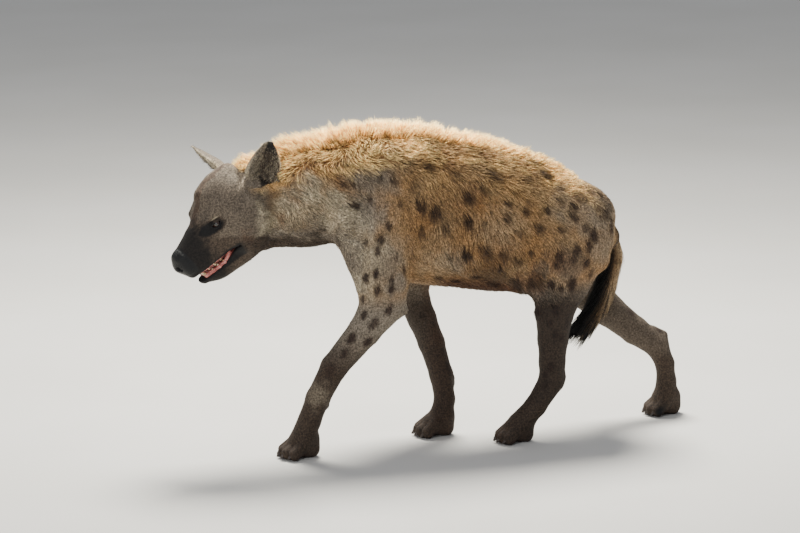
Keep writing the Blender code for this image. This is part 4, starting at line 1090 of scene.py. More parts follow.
@dataclass
class Markings:
    """Where the coat changes colour: patches, the dark feet, the face and the spots, with some painted
    shade and painted highlights among the marks.
    """

    skin: Skin
    view: View = field(default_factory=View)
    seed: int = 11
    far_spots: int = 92
    far_distance: float = 0.04
    spot_share: float = 0.0016
    spot_places: Array = empty(0, 3)
    spot_sizes: Array = empty(0)
    spot_depths: Array = empty(0)
    patch_places: list = field(default_factory=list)

    def build(self) -> None:
        """Finds each patch and spot on the skin, then scatters the spots of the far side."""
        tree = BVHTree.FromPolygons([Vector(p) for p in self.skin.points], self.skin.triangles.tolist())
        eye = self.view.place()
        for patch in PATCHES:
            hit = tree.ray_cast(eye, self.view.ray(patch.across, patch.down))[0]
            if hit is None:
                continue
            self.patch_places.append((np.array(hit), patch))
            if patch.both_sides:
                self.patch_places.append((self.mirrored(np.array(hit)), patch))
        places, sizes, depths = [], [], []
        for across, down, size, depth in SPOTS:
            hit = tree.ray_cast(eye, self.view.ray(across, down))[0]
            if hit is not None:
                places.append(np.array(hit))
                flank = (415 < across < 570 and down < 262) or (across > 570 and down < 300)
                sizes.append(size * self.spot_share * (1.25 if flank else 1.0))
                depths.append((depth / 10) ** 0.6)
        draw, count = np.random.default_rng(self.seed), 0
        for index in draw.permutation(len(self.skin.points)):
            at, out = self.skin.points[index], self.skin.normals[index]
            trunk = -0.19 < at[0] < 0.47 and 0.36 < at[2] < 0.74
            leg = 0.16 < at[2] <= 0.36 and draw.random() < 0.5
            hidden = out[1] > 0.25 or (out[1] < -0.6 and at[1] > 0.02 and at[2] < 0.38)
            if not ((trunk and out[1] > 0.25) or (leg and hidden)) or count >= self.far_spots:
                continue
            if min(np.linalg.norm(at - place) for place in places) < self.far_distance:
                continue
            places.append(at)
            sizes.append(self.spot_share * draw.uniform(5.0, 8.5))
            depths.append(draw.uniform(0.75, 1.0))
            count += 1
        self.spot_places, self.spot_sizes = np.array(places), np.array(sizes)
        self.spot_depths = np.array(depths)
        LOG.info("%d spots and %d patches lie on the skin", len(places), len(self.patch_places))

    @staticmethod
    def mirrored(place: Array) -> Array:
        """The same place on the other side of the head or body."""
        if place[0] < -0.43:
            head = in_head(place[None])[0]
            return np.array(HEAD @ Vector((head[0], -head[1], head[2])))
        return place * np.array((1.0, -1.0, 1.0))

    def spots(self, points: Array, lie: Array) -> Array:
        """How much of a spot each place lies in, the spots being long along the hair."""
        worn = points + 0.0022 * ripples(points, 0.012, 40)
        found = np.zeros(len(points))
        for place, size, depth in zip(self.spot_places, self.spot_sizes, self.spot_depths):
            offset = worn - place
            near = np.flatnonzero((np.abs(offset) < 3.2 * size).all(axis=1))
            if not near.size:
                continue
            offset = offset[near]
            along = (offset * lie[near]).sum(axis=1)
            rest = offset - along[:, None] * lie[near]
            far = np.sqrt((along / 1.4) ** 2 + (rest**2).sum(axis=1) / 0.9**2) / size
            found[near] = np.maximum(found[near], depth * ease(1.3, 0.5, far))
        return found

    def marks(self, points: Array, lie: Array) -> Array:
        """The share of each tone at each place.

        Args:
            points: Places on the skin.
            lie: The lie of the hair there.

        Returns:
            One column for each tone, in the order of Tone.
        """
        marks = np.zeros((len(points), len(Tone)))
        ragged = points + 0.01 * ripples(points, 0.045, 60)
        for place, patch in self.patch_places:
            far = np.linalg.norm(ragged - place, axis=1) / patch.size
            self.deepen(marks, patch.tone, patch.strength * ease(1.5, 0.3, far))
        self.add_body(points, marks)
        self.add_head(points, marks)
        marks[:, Tone.SPOT] = self.spots(points, lie)
        return marks

    @staticmethod
    def deepen(marks: Array, tone: Tone, share: Array) -> None:
        """Raises one tone to at least the given share."""
        marks[:, tone] = np.maximum(marks[:, tone], share)

    def add_body(self, points: Array, marks: Array) -> None:
        """The golden crest, the dark legs and feet with painted shade on the far legs, the belly with some
        painted shade, painted shade under the neck, and the tail.
        """
        x, y, z = points.T
        deepen = partial(self.deepen, marks)
        crest = np.interp(x, (-0.47, -0.3, -0.1, 0.1, 0.25, 0.36, 0.46),
                          (0.715, 0.762, 0.78, 0.765, 0.725, 0.672, 0.59))
        wave = 0.012 * ripple(points, 0.05, 3)
        under = crest - z + wave
        deepen(Tone.GOLD, ease(0.066, 0.014, under) * ease(0.46, 0.34, x) * ease(-0.5, -0.44, x))
        deepen(Tone.GOLD, 0.2 * ease(0.15, 0.05, under) * ease(0.44, 0.3, x) * ease(-0.12, -0.02, x))
        body = ease(-0.44, -0.4, x) + (z < 0.4)
        fore = (x < 0.14).astype(float)
        foot = blend(ease(0.33, 0.13, z + wave), ease(0.36, 0.22, z + wave), fore)
        foot *= 1.0 - 0.75 * marks[:, Tone.PALE]
        deepen(Tone.DARK, foot * np.minimum(body, 1.0) * 0.95)
        near_hind = ease(0.43, 0.34, z + wave) * 0.8 * (x > 0.19) * ease(0.03, -0.01, y)
        deepen(Tone.DARK, 1.2 * near_hind)
        deepen(Tone.BLACK, 0.38 * near_hind * ease(0.08, 0.12, z))
        # The far legs (y > 0) are dark brown and also get painted shade, as the side away from the light.
        deepen(Tone.DARK, 0.72 * ease(0.4, 0.32, z) * (1.0 - fore) * ease(0.0, 0.04, y))
        deepen(Tone.DARK, 0.85 * ease(0.4, 0.33, z) * fore * ease(-0.02, 0.03, y))
        deepen(Tone.BLACK, 0.24 * ease(0.38, 0.32, z) * fore * ease(-0.02, 0.03, y))
        deepen(Tone.GREY, 0.95 * ease(0.45, 0.37, z) * np.minimum(body, 1.0))
        deepen(Tone.BLACK, 0.16 * ease(0.15, 0.045, z) * np.minimum(body, 1.0))
        floor = np.interp(x, (-0.2, 0.0, 0.2, 0.3, 0.4), (0.45, 0.4, 0.375, 0.38, 0.42))
        belly = ease(0.06, 0.02, z - floor)
        under = belly * ease(0.0, 0.06, x) * ease(0.46, 0.36, x)
        under *= np.maximum(ease(0.11, 0.06, np.abs(y)), ease(0.19, 0.15, x))
        deepen(Tone.RUST, 0.8 * under)
        # The belly's dark hair is partly its own dark brown and partly painted shade under the body.
        deepen(Tone.DARK, 0.7 * under * ease(0.13, 0.05, np.abs(y)))
        below = z + 0.5 * wave - np.interp(x, (-0.45, -0.38, -0.3, -0.22, -0.17),
                                           (0.56, 0.545, 0.535, 0.52, 0.495))
        throat, front = ease(0.03, 0.006, below), ease(-0.17, -0.21, x)
        deepen(Tone.GREY, 0.9 * ease(0.06, 0.03, below) * front * (z > 0.42))
        # Painted shade: the dark band along the underside of the neck and throat.
        deepen(Tone.DARK, 0.85 * throat * front * (z > 0.42)
               * np.maximum(ease(0.075, 0.045, np.abs(y)), ease(-0.23, -0.28, x)))
        tail = ease(0.47, 0.486, x) * ease(0.05, 0.04, np.abs(y)) * ease(0.56, 0.5, z)
        deepen(Tone.BLACK, tail)

    def add_head(self, points: Array, marks: Array) -> None:
        """The grey face, black muzzle and lips, dark eyes with painted shade round them and a partly
        painted highlight on the brows, the line up the forehead, and the ears with painted shade in their
        hollows and partly painted rim light.
        """
        f, l, c = in_head(points).T
        deepen = partial(self.deepen, marks)
        near = ease(-0.4, -0.45, points[:, 0]) * ease(0.36, 0.42, points[:, 2])
        a, wave, face = np.abs(l), 0.006 * ripple(points, 0.02, 5), Face()
        marks[:, Tone.GOLD] *= 1.0 - near * ease(-0.12, -0.07, f)
        deepen(Tone.GREY, near * 0.9)
        deepen(Tone.DARK, near * 0.52 * ease(-0.115, -0.05, f) * ease(0.0, 0.03, c)
               * (1.0 - 0.9 * marks[:, Tone.PALE]))
        muzzle = ease(0.046, 0.082, f + wave - 0.2 * (0.075 - c))
        deepen(Tone.BLACK, near * 0.86 * muzzle)
        deepen(Tone.BLACK, near * 0.95 * ease(0.105, 0.125, f + wave))
        deepen(Tone.DARK, near * 0.8 * ease(0.0, 0.055, f + wave))
        for side in SIDES:
            eye, places = np.array(Face.on(face.eye_place, side)), np.stack([f, l, c], axis=1)
            ahead = eye + (0.013, -0.006 * side, -0.001)
            far = np.linalg.norm((places - ahead) / (1.85, 1.4, 0.8), axis=1)
            # The black and dark round each eye are partly the face's dark hair and partly painted shade
            # under the hooded brow.
            deepen(Tone.BLACK, near * 0.97 * ease(0.026, 0.0175, far + 0.3 * wave))
            deepen(Tone.DARK, near * 0.85 * ease(0.038, 0.022, far + 0.3 * wave))
            brow = np.linalg.norm((places - eye - (-0.004, 0.0, 0.0155)) / (1.0, 1.0, 0.22), axis=1)
            brow = ease(0.019, 0.008, brow + 0.2 * wave)
            # The pale brow is partly pale hair and partly a painted highlight on the upper lid.
            deepen(Tone.PALE, near * 0.9 * brow)
            for tone in (Tone.BLACK, Tone.DARK):
                marks[:, tone] *= 1.0 - near * 0.85 * brow
        stripe = (ease(0.018, 0.005, a + wave) * ease(0.1, 0.04, f) * ease(-0.135, -0.09, f)
                  * ease(0.1, 0.13, c))
        deepen(Tone.DARK, near * 0.78 * stripe)
        deepen(Tone.RUST, near * 0.4 * stripe)
        gape = np.abs(c - face.lip_line + face.mouth_open / 2) - face.mouth_open / 2
        lips = ease(0.013, 0.006, gape) * ease(-0.006, 0.01, f)
        deepen(Tone.BLACK, near * 0.95 * lips)
        deepen(Tone.DARK, near * 0.8 * ease(0.02, 0.0, c) * ease(-0.02, 0.03, f))
        deepen(Tone.BLACK, near * 0.85 * ease(0.02, 0.0, c) * ease(0.04, 0.08, f))
        nose = ease(0.117, 0.125, f) * ease(0.034, 0.044, c)
        deepen(Tone.BARE, near * nose)
        mouth = (a < 0.052) & (c < face.lip_line + 0.003) & (c > face.lip_line - face.mouth_open - 0.003)
        inner = mouth * ease(0.012, 0.022, f) * ease(0.118, 0.1, f)
        jaw = np.interp(f, (0.0, 0.04, 0.085, 0.12), (0.054, 0.042, 0.032, 0.02))
        deepen(Tone.MOUTH, near * inner * ease(0.002, 0.007, jaw - a))
        for ear in EARS:
            up, side, out = ear.local(points).T
            share, aside = up / ear.height, np.abs(side)
            inside = (share > 0.02) & (share < 1.2) & (aside < 0.05) & (np.abs(out) < 0.035)
            hollow = inside * ease(-0.012, -0.006, out - 0.35 * aside) * ease(0.036, 0.024, aside)
            marks[:, Tone.GOLD] *= 1.0 - inside
            ahead = side * math.copysign(1.0, ear.opens[1])
            turned = ease(0.001, 0.008, ahead)
            deepen(Tone.GREY, inside * 0.9)
            deepen(Tone.DARK, inside * ease(0.1, 0.4, share) * 0.75 * (1.0 - 0.5 * turned))
            # Painted shade: the deep hollow of the ear is painted black, less so where it turns to the
            # front.
            deepen(Tone.BLACK, hollow * 0.9 * (1.0 - 0.85 * turned))
            deepen(Tone.PALE, inside * 0.6 * ease(0.005, 0.0015, np.abs(ahead - 0.005)) * (share > 0.2))
            rows = np.array(ear.outside)
            wide = ear.spread * np.interp(share, rows[:, 0], rows[:, 3])
            edge = inside * (ease(0.84, 0.95, aside / wide) + ease(0.9, 0.98, share)) * (share > 0.15)
            edge = np.minimum(edge, 1.0)
            # The pale rim of the ear is partly pale hair and partly a painted rim light.
            deepen(Tone.PALE, 0.75 * edge)
            marks[:, Tone.DARK] *= 1.0 - 0.8 * edge


# The mane: along the body, height of the skin, length of the hair, degrees of lean to the back
MANE = (
    (-0.47, 0.716, 0.046, -52.0), (-0.42, 0.737, 0.054, -46.0), (-0.35, 0.752, 0.06, -38.0),
    (-0.26, 0.768, 0.062, -24.0), (-0.16, 0.778, 0.062, -6.0), (-0.05, 0.776, 0.056, 12.0),
    (0.06, 0.764, 0.052, 26.0), (0.17, 0.741, 0.048, 42.0), (0.26, 0.712, 0.044, 54.0),
    (0.34, 0.676, 0.036, 62.0), (0.4, 0.636, 0.026, 66.0), (0.45, 0.598, 0.016, 70.0),
)

# Lie of the trunk's hair: along the body, height, degrees down from straight back,
# length in millimetres and degrees off the skin
TRUNK_LIE = (
    (-0.44, 0.7, 60, 20, 22), (-0.4, 0.62, 68, 24, 24), (-0.42, 0.55, 25, 14, 18),
    (-0.33, 0.73, 50, 26, 24), (-0.33, 0.65, 46, 28, 24), (-0.33, 0.57, 14, 16, 16),
    (-0.25, 0.74, 48, 28, 22), (-0.24, 0.66, 38, 26, 20), (-0.24, 0.6, 8, 18, 16),
    (-0.2, 0.52, 75, 15, 14), (-0.14, 0.75, 30, 24, 26), (-0.13, 0.68, 70, 16, 15),
    (-0.14, 0.58, 85, 14, 13), (-0.14, 0.48, 88, 13, 12), (-0.03, 0.75, 30, 30, 28),
    (-0.02, 0.68, 66, 28, 22), (-0.02, 0.6, 80, 28, 20), (-0.01, 0.52, 72, 24, 18),
    (-0.02, 0.445, 12, 18, 14), (0.08, 0.74, 32, 31, 28), (0.08, 0.66, 66, 31, 24),
    (0.08, 0.57, 76, 31, 22), (0.08, 0.48, 62, 29, 20), (0.08, 0.415, 8, 17, 14),
    (0.19, 0.71, 28, 30, 24), (0.19, 0.62, 54, 30, 22), (0.19, 0.52, 62, 30, 22),
    (0.19, 0.43, 42, 24, 20), (0.29, 0.67, 22, 23, 18), (0.29, 0.58, 44, 21, 17),
    (0.29, 0.48, 66, 19, 17), (0.27, 0.4, 50, 22, 22), (0.38, 0.62, 34, 15, 14),
    (0.4, 0.54, 76, 14, 13), (0.38, 0.45, 106, 12, 12), (0.45, 0.56, 62, 19, 17),
    (0.47, 0.48, 100, 12, 12), (0.42, 0.4, 112, 11, 12),
)

# Lie of the head's hair in head axes: place on the left, direction, millimetres, degrees
HEAD_LIE = (
    ((0.115, 0.015, 0.095), (-1.0, 0.0, 0.1), 3, 14), ((0.09, 0.04, 0.05), (-1.0, 0.2, -0.1), 4, 14),
    ((0.06, 0.02, 0.12), (-1.0, 0.0, 0.3), 4, 14), ((0.02, 0.035, 0.14), (-1.0, 0.1, 0.4), 5, 16),
    ((-0.03, 0.03, 0.172), (-1.0, 0.1, 0.1), 6, 16), ((-0.09, 0.04, 0.168), (-1.0, 0.2, -0.3), 9, 18),
    ((0.02, 0.062, 0.072), (-1.0, 0.2, -0.3), 5, 14), ((-0.04, 0.078, 0.1), (-1.0, 0.0, 0.0), 8, 15),
    ((-0.045, 0.082, 0.06), (-0.9, 0.0, -0.5), 9, 16), ((0.04, 0.045, 0.0), (-1.0, 0.1, -0.2), 6, 14),
    ((-0.04, 0.066, -0.005), (-1.0, 0.0, -0.4), 12, 18), ((0.1, 0.0, -0.025), (-1.0, 0.0, -0.3), 5, 16),
    ((0.04, 0.0, -0.045), (-1.0, 0.0, -0.2), 8, 18), ((-0.03, 0.0, -0.05), (-1.0, 0.0, -0.1), 12, 18),
    ((-0.1, 0.075, 0.06), (-0.9, 0.0, -0.7), 16, 20),
)


@dataclass
class Lie:
    """Which way the hair lies at any place, how long it is and how far it stands off."""

    places: Array = empty(0, 3)
    ways: Array = empty(0, 3)
    lengths: Array = empty(0)
    lifts: Array = empty(0)
    softness: float = 0.022
    chunk: int = 20000

    def build(self) -> None:
        """Gathers the guides of trunk, belly, back, legs, paws, head and ears."""
        rows: list[tuple] = []
        for x, z, down, length, lift in TRUNK_LIE:
            angle = math.radians(down)
            wide = 0.085 if x < -0.18 else 0.125
            for side in SIDES:
                rows.append(((x, wide * side, z), (math.cos(angle), 0.0, -math.sin(angle)), length, lift))
        for x, z in ((-0.1, 0.42), (0.0, 0.405), (0.1, 0.39), (0.2, 0.375), (0.3, 0.375), (0.4, 0.42)):
            rows.append(((x, 0.0, z), (1.0, 0.0, -0.1), 20, 26))
        for x, z, hair, lean in MANE:
            way = (math.sin(math.radians(lean)), 0.3, 0.3 * math.cos(math.radians(lean)))
            for side in SIDES:
                rows.append(((x, 0.048 * side, z - 0.012), Face.on(way, side), hair * 720, 40))
        for x, z in ((-0.4, 0.735), (-0.25, 0.765), (-0.1, 0.78), (0.05, 0.77), (0.2, 0.74)):
            rows.append(((x, 0.0, z), (0.8, 0.0, 0.1), 20, 30))
        for x, z in ((0.33, 0.69), (0.42, 0.63), (0.47, 0.57)):
            rows.append(((x, 0.0, z), (0.8, 0.0, -0.5), 26, 22))
        for chain in Legs().chains().values():
            for upper, lower in zip(chain[2:], chain[3:]):
                way = Vector(lower[:3]) - Vector(upper[:3])
                length = float(np.interp(upper[2], (0.1, 0.4), (6.0, 11.0)))
                rows.append((upper[:3], tuple(way.normalized()), length, 11))
        for paw in PAWS:
            for forward in (-0.01, 0.02, 0.045):
                place = paw.frame() @ Vector((forward, 0.0, 0.035))
                way = paw.frame().to_3x3() @ Vector((1.0, 0.0, -0.35))
                rows.append((tuple(place), tuple(way), 5, 12))
        for place, way, length, lift in HEAD_LIE:
            for side in SIDES:
                rows.append((tuple(HEAD @ Vector(Face.on(place, side))),
                             tuple(HEAD.to_3x3() @ Vector(Face.on(way, side))), length, lift))
        for ear in EARS:
            for share in (0.15, 0.5, 0.85, 1.0):
                place = ear.frame() @ Vector((share * ear.height, 0.0, 0.0))
                way = ear.frame().to_3x3() @ Vector((1.0, 0.0, 0.1))
                rows += [(tuple(place), tuple(way), 5.5, 16)] * 3
        self.places = np.array([row[0] for row in rows])
        self.ways = unit(np.array([row[1] for row in rows]))
        self.lengths = np.array([row[2] for row in rows]) * 0.001
        self.lifts = np.radians([row[3] for row in rows])

    def at(self, points: Array, normals: Array) -> tuple:
        """The lie along the skin, the length and the angle off the skin at each place."""
        ways, lengths, lifts = np.zeros_like(points), np.zeros(len(points)), np.zeros(len(points))
        for start in range(0, len(points), self.chunk):
            part = slice(start, start + self.chunk)
            far = ((points[part, None, :] - self.places) ** 2).sum(axis=2)
            weight = 1.0 / (far + self.softness**2) ** 2.5
            weight /= weight.sum(axis=1, keepdims=True)
            ways[part] = weight @ self.ways
            lengths[part], lifts[part] = weight @ self.lengths, weight @ self.lifts
        ways -= (ways * normals).sum(axis=1)[:, None] * normals
        return unit(ways), lengths, lifts


@dataclass(frozen=True)
class TuftShape:
    """How many rings a tuft has, where they lie along it and how wide they are."""

    levels: tuple
    widths: tuple
    flat: float = 0.45

    def faces(self) -> tuple[Array, Array]:
        """The corners of one tuft's four-sided and three-sided faces."""
        rings = len(self.levels)
        quads = [(3 * r + i, 3 * r + (i + 1) % 3, 3 * r + 3 + (i + 1) % 3, 3 * r + 3 + i)
                 for r in range(rings - 1) for i in range(3)]
        tip = 3 * rings
        last = tip - 3
        sides = [(last + i, last + (i + 1) % 3, tip) for i in range(3)]
        return np.array(quads, int).reshape(-1, 4), np.array([(2, 1, 0)] + sides)


SPIKE = TuftShape((0.0,), (1.0,))
BENT = TuftShape((0.0, 0.52), (1.0, 0.78))
LONG = TuftShape((0.0, 0.34, 0.7), (0.8, 1.0, 0.62))


@dataclass
class Tufts:
    """Many tufts as one mesh, with the marks of the coat at each root."""

    shape: TuftShape
    roots: Array
    ways: Array
    across: Array
    lengths: Array
    widths: Array
    bends: Array
    marks: Array
    luck: Array
    unwrap: Array

    def corners(self) -> Array:
        """All corners of each tuft, ring by ring, and then its tip."""
        up, made = unit(np.cross(self.ways, self.across)), []
        for level, share in zip(self.shape.levels, self.shape.widths):
            reach = (self.lengths * level)[:, None]
            middle = self.roots + self.ways * reach + self.bends * reach * level
            half = (self.widths * share / 2)[:, None]
            made += [middle + self.across * half, middle + up * half * self.shape.flat * 2,
                     middle - self.across * half]
        reach = self.lengths[:, None]
        made.append(self.roots + self.ways * reach + self.bends * reach)
        return np.stack(made, axis=1)

    def along(self) -> Array:
        """The share of the way to the tip at each corner of a tuft."""
        return np.array([level for level in self.shape.levels for _ in range(3)] + [1.0])

    def clump(self, size: float, pull: float, seed: int) -> None:
        """Draws the tips of neighbouring tufts together, as wisps."""
        tips = self.roots + (self.ways + self.bends) * self.lengths[:, None]
        worn = self.roots + 0.45 * size * ripples(self.roots, 2.2 * size, seed)
        _, group = np.unique(np.floor(worn / size).astype(int), axis=0, return_inverse=True)
        group = group.reshape(-1)
        count = np.bincount(group)
        middle = np.stack([np.bincount(group, tips[:, i]) / count for i in range(3)], axis=1)
        self.bends += (middle[group] - tips) * (pull / self.lengths)[:, None]


@dataclass
class Workshop:
    """Puts finished meshes in the model's place and hands them to the frame."""

    shift: Array
    patch_size: float = 0.003

    def mesh(self, name: str, points: Array, groups: list, attributes: dict) -> Object:
        """Makes an object from arrays.

        Args:
            name: The piece's name.
            points: Its corners, in the animal's axes.
            groups: Arrays of faces, each with one number of corners.
            attributes: Values for each corner by name, with one or three columns.

        Returns:
            The object, shaded smooth.
        """
        mesh = bpy.data.meshes.new(name)
        mesh.vertices.add(len(points))
        placed = points + self.shift
        placed[:, 2] = np.maximum(placed[:, 2], 0.0)
        mesh.vertices.foreach_set("co", placed.astype(np.float32).ravel())
        loops = np.concatenate([group.ravel() for group in groups if len(group)])
        sizes = np.concatenate([np.full(len(group), group.shape[1]) for group in groups if len(group)])
        mesh.loops.add(len(loops))
        mesh.loops.foreach_set("vertex_index", loops.astype(np.int32))
        mesh.polygons.add(len(sizes))
        starts = np.concatenate([[0], np.cumsum(sizes)[:-1]])
        mesh.polygons.foreach_set("loop_start", starts.astype(np.int32))
        mesh.update(calc_edges=True)
        mesh.validate()
        for key, values in attributes.items():
            kind, slot = ("FLOAT_VECTOR", "vector") if values.ndim == 2 else ("FLOAT", "value")
            made = mesh.attributes.new(key, kind, "POINT")
            made.data.foreach_set(slot, values.astype(np.float32).ravel())
        mesh.shade_smooth()
        piece = bpy.data.objects.new(name, mesh)
        bpy.context.scene.collection.objects.link(piece)
        return piece

    def marks(self, marks: Array) -> dict:
        """The tones as named values of the corners, three at a time."""
        return {name: marks[:, 3 * i:3 * i + 3] for i, name in enumerate(("tones", "shades", "spots"))}

    def tufts(self, name: str, tufts: Tufts) -> Object:
        """Makes one piece of coat with its marks and its unwrap."""
        corners = tufts.corners()
        count, each = corners.shape[:2]
        quads, sides = tufts.shape.faces()
        start = (np.arange(count) * each)[:, None, None]
        groups = [(start + group).reshape(-1, group.shape[1]) for group in (quads, sides) if len(group)]
        attributes = self.marks(np.repeat(tufts.marks, each, axis=0))
        attributes["strand"] = np.stack([np.tile(tufts.along(), count), np.repeat(tufts.luck, each),
                                         np.zeros(count * each)], axis=1)
        piece = self.mesh(name, corners.reshape(-1, 3), groups, attributes)
        turn = TURN * np.arange(each) / each
        ring = np.stack([np.cos(turn), np.sin(turn)], axis=1) * self.patch_size / 2
        flat = (tufts.unwrap[:, None, :] + ring).reshape(-1, 2)
        layer = piece.data.uv_layers.new(name="OFBake")
        order = np.zeros(len(piece.data.loops), np.int32)
        piece.data.loops.foreach_get("vertex_index", order)
        layer.data.foreach_set("uv", flat[order].astype(np.float32).ravel())
        return piece

    def hand_over(self, piece: Object, material: Material, slot: str, *nodes: str) -> Object:
        """Gives a piece its finish and its body, and hides the solids it stands for."""
        piece.data.materials.append(material)
        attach(piece, "root")
        if nodes:
            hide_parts(*nodes)
        LOG.info("%s: %d faces", piece.name, len(piece.data.polygons))
        return piece


def wrapped(points: Array, line: list, way: int) -> Array:
    """Unwraps places round a line that runs along one of the axes.

    Args:
        points: The places.
        line: Points of the line.
        way: The axis it runs along, 0 to 2.

    Returns:
        The angle round the line and the share along it, both from 0 to 1.
    """
    path = np.array(sorted(line, key=lambda point: point[way]))
    middle = np.stack([np.interp(points[:, way], path[:, way], path[:, i]) for i in range(3)], axis=1)
    offset = points - middle
    first, second = [i for i in range(3) if i != way]
    flat = np.stack([np.arctan2(offset[:, first], offset[:, second]), points[:, way]], axis=1)
    return 0.003 + 0.994 * (flat - flat.min(axis=0)) / np.ptp(flat, axis=0)


@dataclass(frozen=True)
class Growth:
    """One region of short coat: how dense, how wide its tufts are, and how they clump."""

    name: str
    slot: str
    density: float
    width: float
    shape: TuftShape
    stretch: float = 1.0
    clump: float = 0.0
    pull: float = 0.0
    way: int = 0


GROWTHS = (
    *(Growth(f"coat_{part}_{side}", "body_coat", 58000, 0.0023, BENT, 1.0, 0.014, pull)
      for part, pull in (("chest", 0.45), ("flank", 0.5)) for side in ("left", "right")),
    Growth("coat_neck", "body_coat", 66000, 0.0021, BENT, 1.0, 0.013, 0.5),
    Growth("coat_head", "head_coat", 230000, 0.001, SPIKE),
    *(Growth(f"coat_ear_{side}", "ear_coat", 200000, 0.001, SPIKE, 1.1) for side in ("left", "right")),
    *(Growth(f"coat_{end}_{side}", "leg_coat", 120000, 0.0014, SPIKE, way=2)
      for end in ("front", "hind") for side in ("left", "right")),
    Growth("coat_paws", "paw_coat", 130000, 0.0013, SPIKE),
)


@dataclass
class Coat:
    """Grows the short coat on the skin, region by region."""

    skin: Skin
    lie: Lie
    markings: Markings
    seed: int = 5
    sunk: float = 0.0012
    halves: float = 0.1
    tail_from: float = 0.472

    def regions(self) -> dict:
        """The triangles of the skin that each region covers."""
        at = self.skin.points[self.skin.triangles].mean(axis=1)
        x, y, z = at.T
        ears = {}
        for ear, name in zip(EARS, ("coat_ear_left", "coat_ear_right")):
            up, side, out = ear.local(at).T
            ears[name] = ((up > 0.12 * ear.height) & (up < 1.4 * ear.height)
                          & (np.abs(side) < 0.055) & (np.abs(out) < 0.036))
        ear = ears["coat_ear_left"] | ears["coat_ear_right"]
        head = ((at - (-0.412, 0.0, 0.64)) @ (-0.97, 0.0, 0.243) > 0) & (z > 0.42) & ~ear
        neck = ((at - (-0.264, 0.0, 0.55)) @ (-0.985, 0.0, 0.172) > 0) & (z > 0.5) & ~head & ~ear
        paw = z < 0.078
        tail = (x > self.tail_from) & (np.abs(y) < 0.05) & (z < 0.575) & (z > 0.2)
        leg = ~paw & (z < np.where(x < 0.14, 0.385, 0.36))
        trunk = ~(head | neck | ear | paw | tail | leg)
        front, left = x < self.halves, y < 0
        chains = Legs().chains()
        nearest = np.stack([self.chain_distance(at, chain) for chain in chains.values()]).argmin(axis=0)
        legs = {f"coat_{name}": leg & (nearest == i) for i, name in enumerate(chains)}
        return {"coat_head": head, "coat_neck": neck, "coat_paws": paw, **ears, **legs,
                "coat_chest_left": trunk & front & left, "coat_chest_right": trunk & front & ~left,
                "coat_flank_left": trunk & ~front & left, "coat_flank_right": trunk & ~front & ~left}

    @staticmethod
    def chain_distance(at: Array, chain: list) -> Array:
        """How far each place is from a leg's joints, measured level."""
        line = np.array(sorted([tuple(joint[:3]) for joint in chain], key=lambda joint: joint[2]))
        middle = np.stack([np.interp(at[:, 2], line[:, 2], line[:, i]) for i in range(2)], axis=1)
        return np.linalg.norm(at[:, :2] - middle, axis=1)

    def scatter(self, kept: Array, density: float, seed: int) -> tuple[Array, Array]:
        """Sows roots evenly by area over triangles; gives their places and the skin's normals."""
        draw = np.random.default_rng([self.seed, seed])
        corners = self.skin.triangles[kept]
        a, b, c = (self.skin.points[corners[:, i]] for i in range(3))
        sums = np.cumsum(np.linalg.norm(np.cross(b - a, c - a), axis=1) / 2)
        count = max(int(sums[-1] * density), 3)
        index = np.searchsorted(sums, (np.arange(count) + draw.random(count)) / count * sums[-1])
        index = np.minimum(index, len(sums) - 1)
        first = np.sqrt(draw.random(count))[:, None]
        second = draw.random(count)[:, None]
        shares = (1 - first, first * (1 - second), first * second)
        places = sum(share * part[index] for share, part in zip(shares, (a, b, c)))
        normals = sum(share * self.skin.normals[corners[index, i]] for i, share in enumerate(shares))
        return places, unit(normals)

    def grow(self, growth: Growth, kept: Array, seed: int) -> Tufts:
        """Grows one region."""
        places, normals = self.scatter(kept, growth.density, seed)
        draw = np.random.default_rng([self.seed, seed, 1])
        ways, lengths, lifts = self.lie.at(places, normals)
        marks = self.markings.marks(places + ways * (lengths * 0.45)[:, None], ways)
        rooted = marks[:, [Tone.BARE, Tone.MOUTH]].max(axis=1) < 0.3
        places, normals, ways, marks = places[rooted], normals[rooted], ways[rooted], marks[rooted]
        lengths, lifts, count = lengths[rooted], lifts[rooted], int(rooted.sum())
        turn = np.radians(15.0 * ripple(places, 0.06, 7) + 9.0 * ripple(places, 0.02, 8)
                          + draw.normal(0.0, 7.0, count))[:, None]
        ways = ways * np.cos(turn) + np.cross(normals, ways) * np.sin(turn)
        lifts = lifts * draw.uniform(0.6, 1.35, count) + np.radians(1.5)
        lies = ways * np.cos(lifts)[:, None] + normals * np.sin(lifts)[:, None]
        lengths = lengths * growth.stretch * draw.uniform(0.72, 1.22, count)
        bends = normals * (-0.5 * np.sin(lifts) * draw.uniform(0.5, 1.2, count))[:, None]
        bends = bends + ways * 0.02 + np.array((0.0, 0.0, -0.06)) * np.minimum(lengths / 0.03, 1)[:, None]
        widths = growth.width * draw.uniform(0.75, 1.3, count)
        chains = Legs().chains()
        key = growth.name.removeprefix("coat_")
        line = ([joint[:3] for joint in chains[key]] if key in chains
                else [(-0.66, 0.0, 0.54), (-0.44, 0.0, 0.66), (0.0, 0.0, 0.58), (0.5, 0.0, 0.52)])
        tufts = Tufts(growth.shape, places - normals * self.sunk, lies, unit(np.cross(normals, lies)),
                      lengths, widths, bends, marks, draw.random(count), wrapped(places, line, growth.way))
        if growth.pull:
            tufts.clump(growth.clump, growth.pull, 20)
        return tufts

    def build(self, workshop: Workshop, material: Material) -> list:
        """Grows every region and hands it over."""
        regions, made = self.regions(), []
        for seed, growth in enumerate(GROWTHS):
            tufts = self.grow(growth, regions[growth.name], seed)
            piece = workshop.tufts(growth.name, tufts)
            made.append(workshop.hand_over(piece, material, growth.slot))
        return made


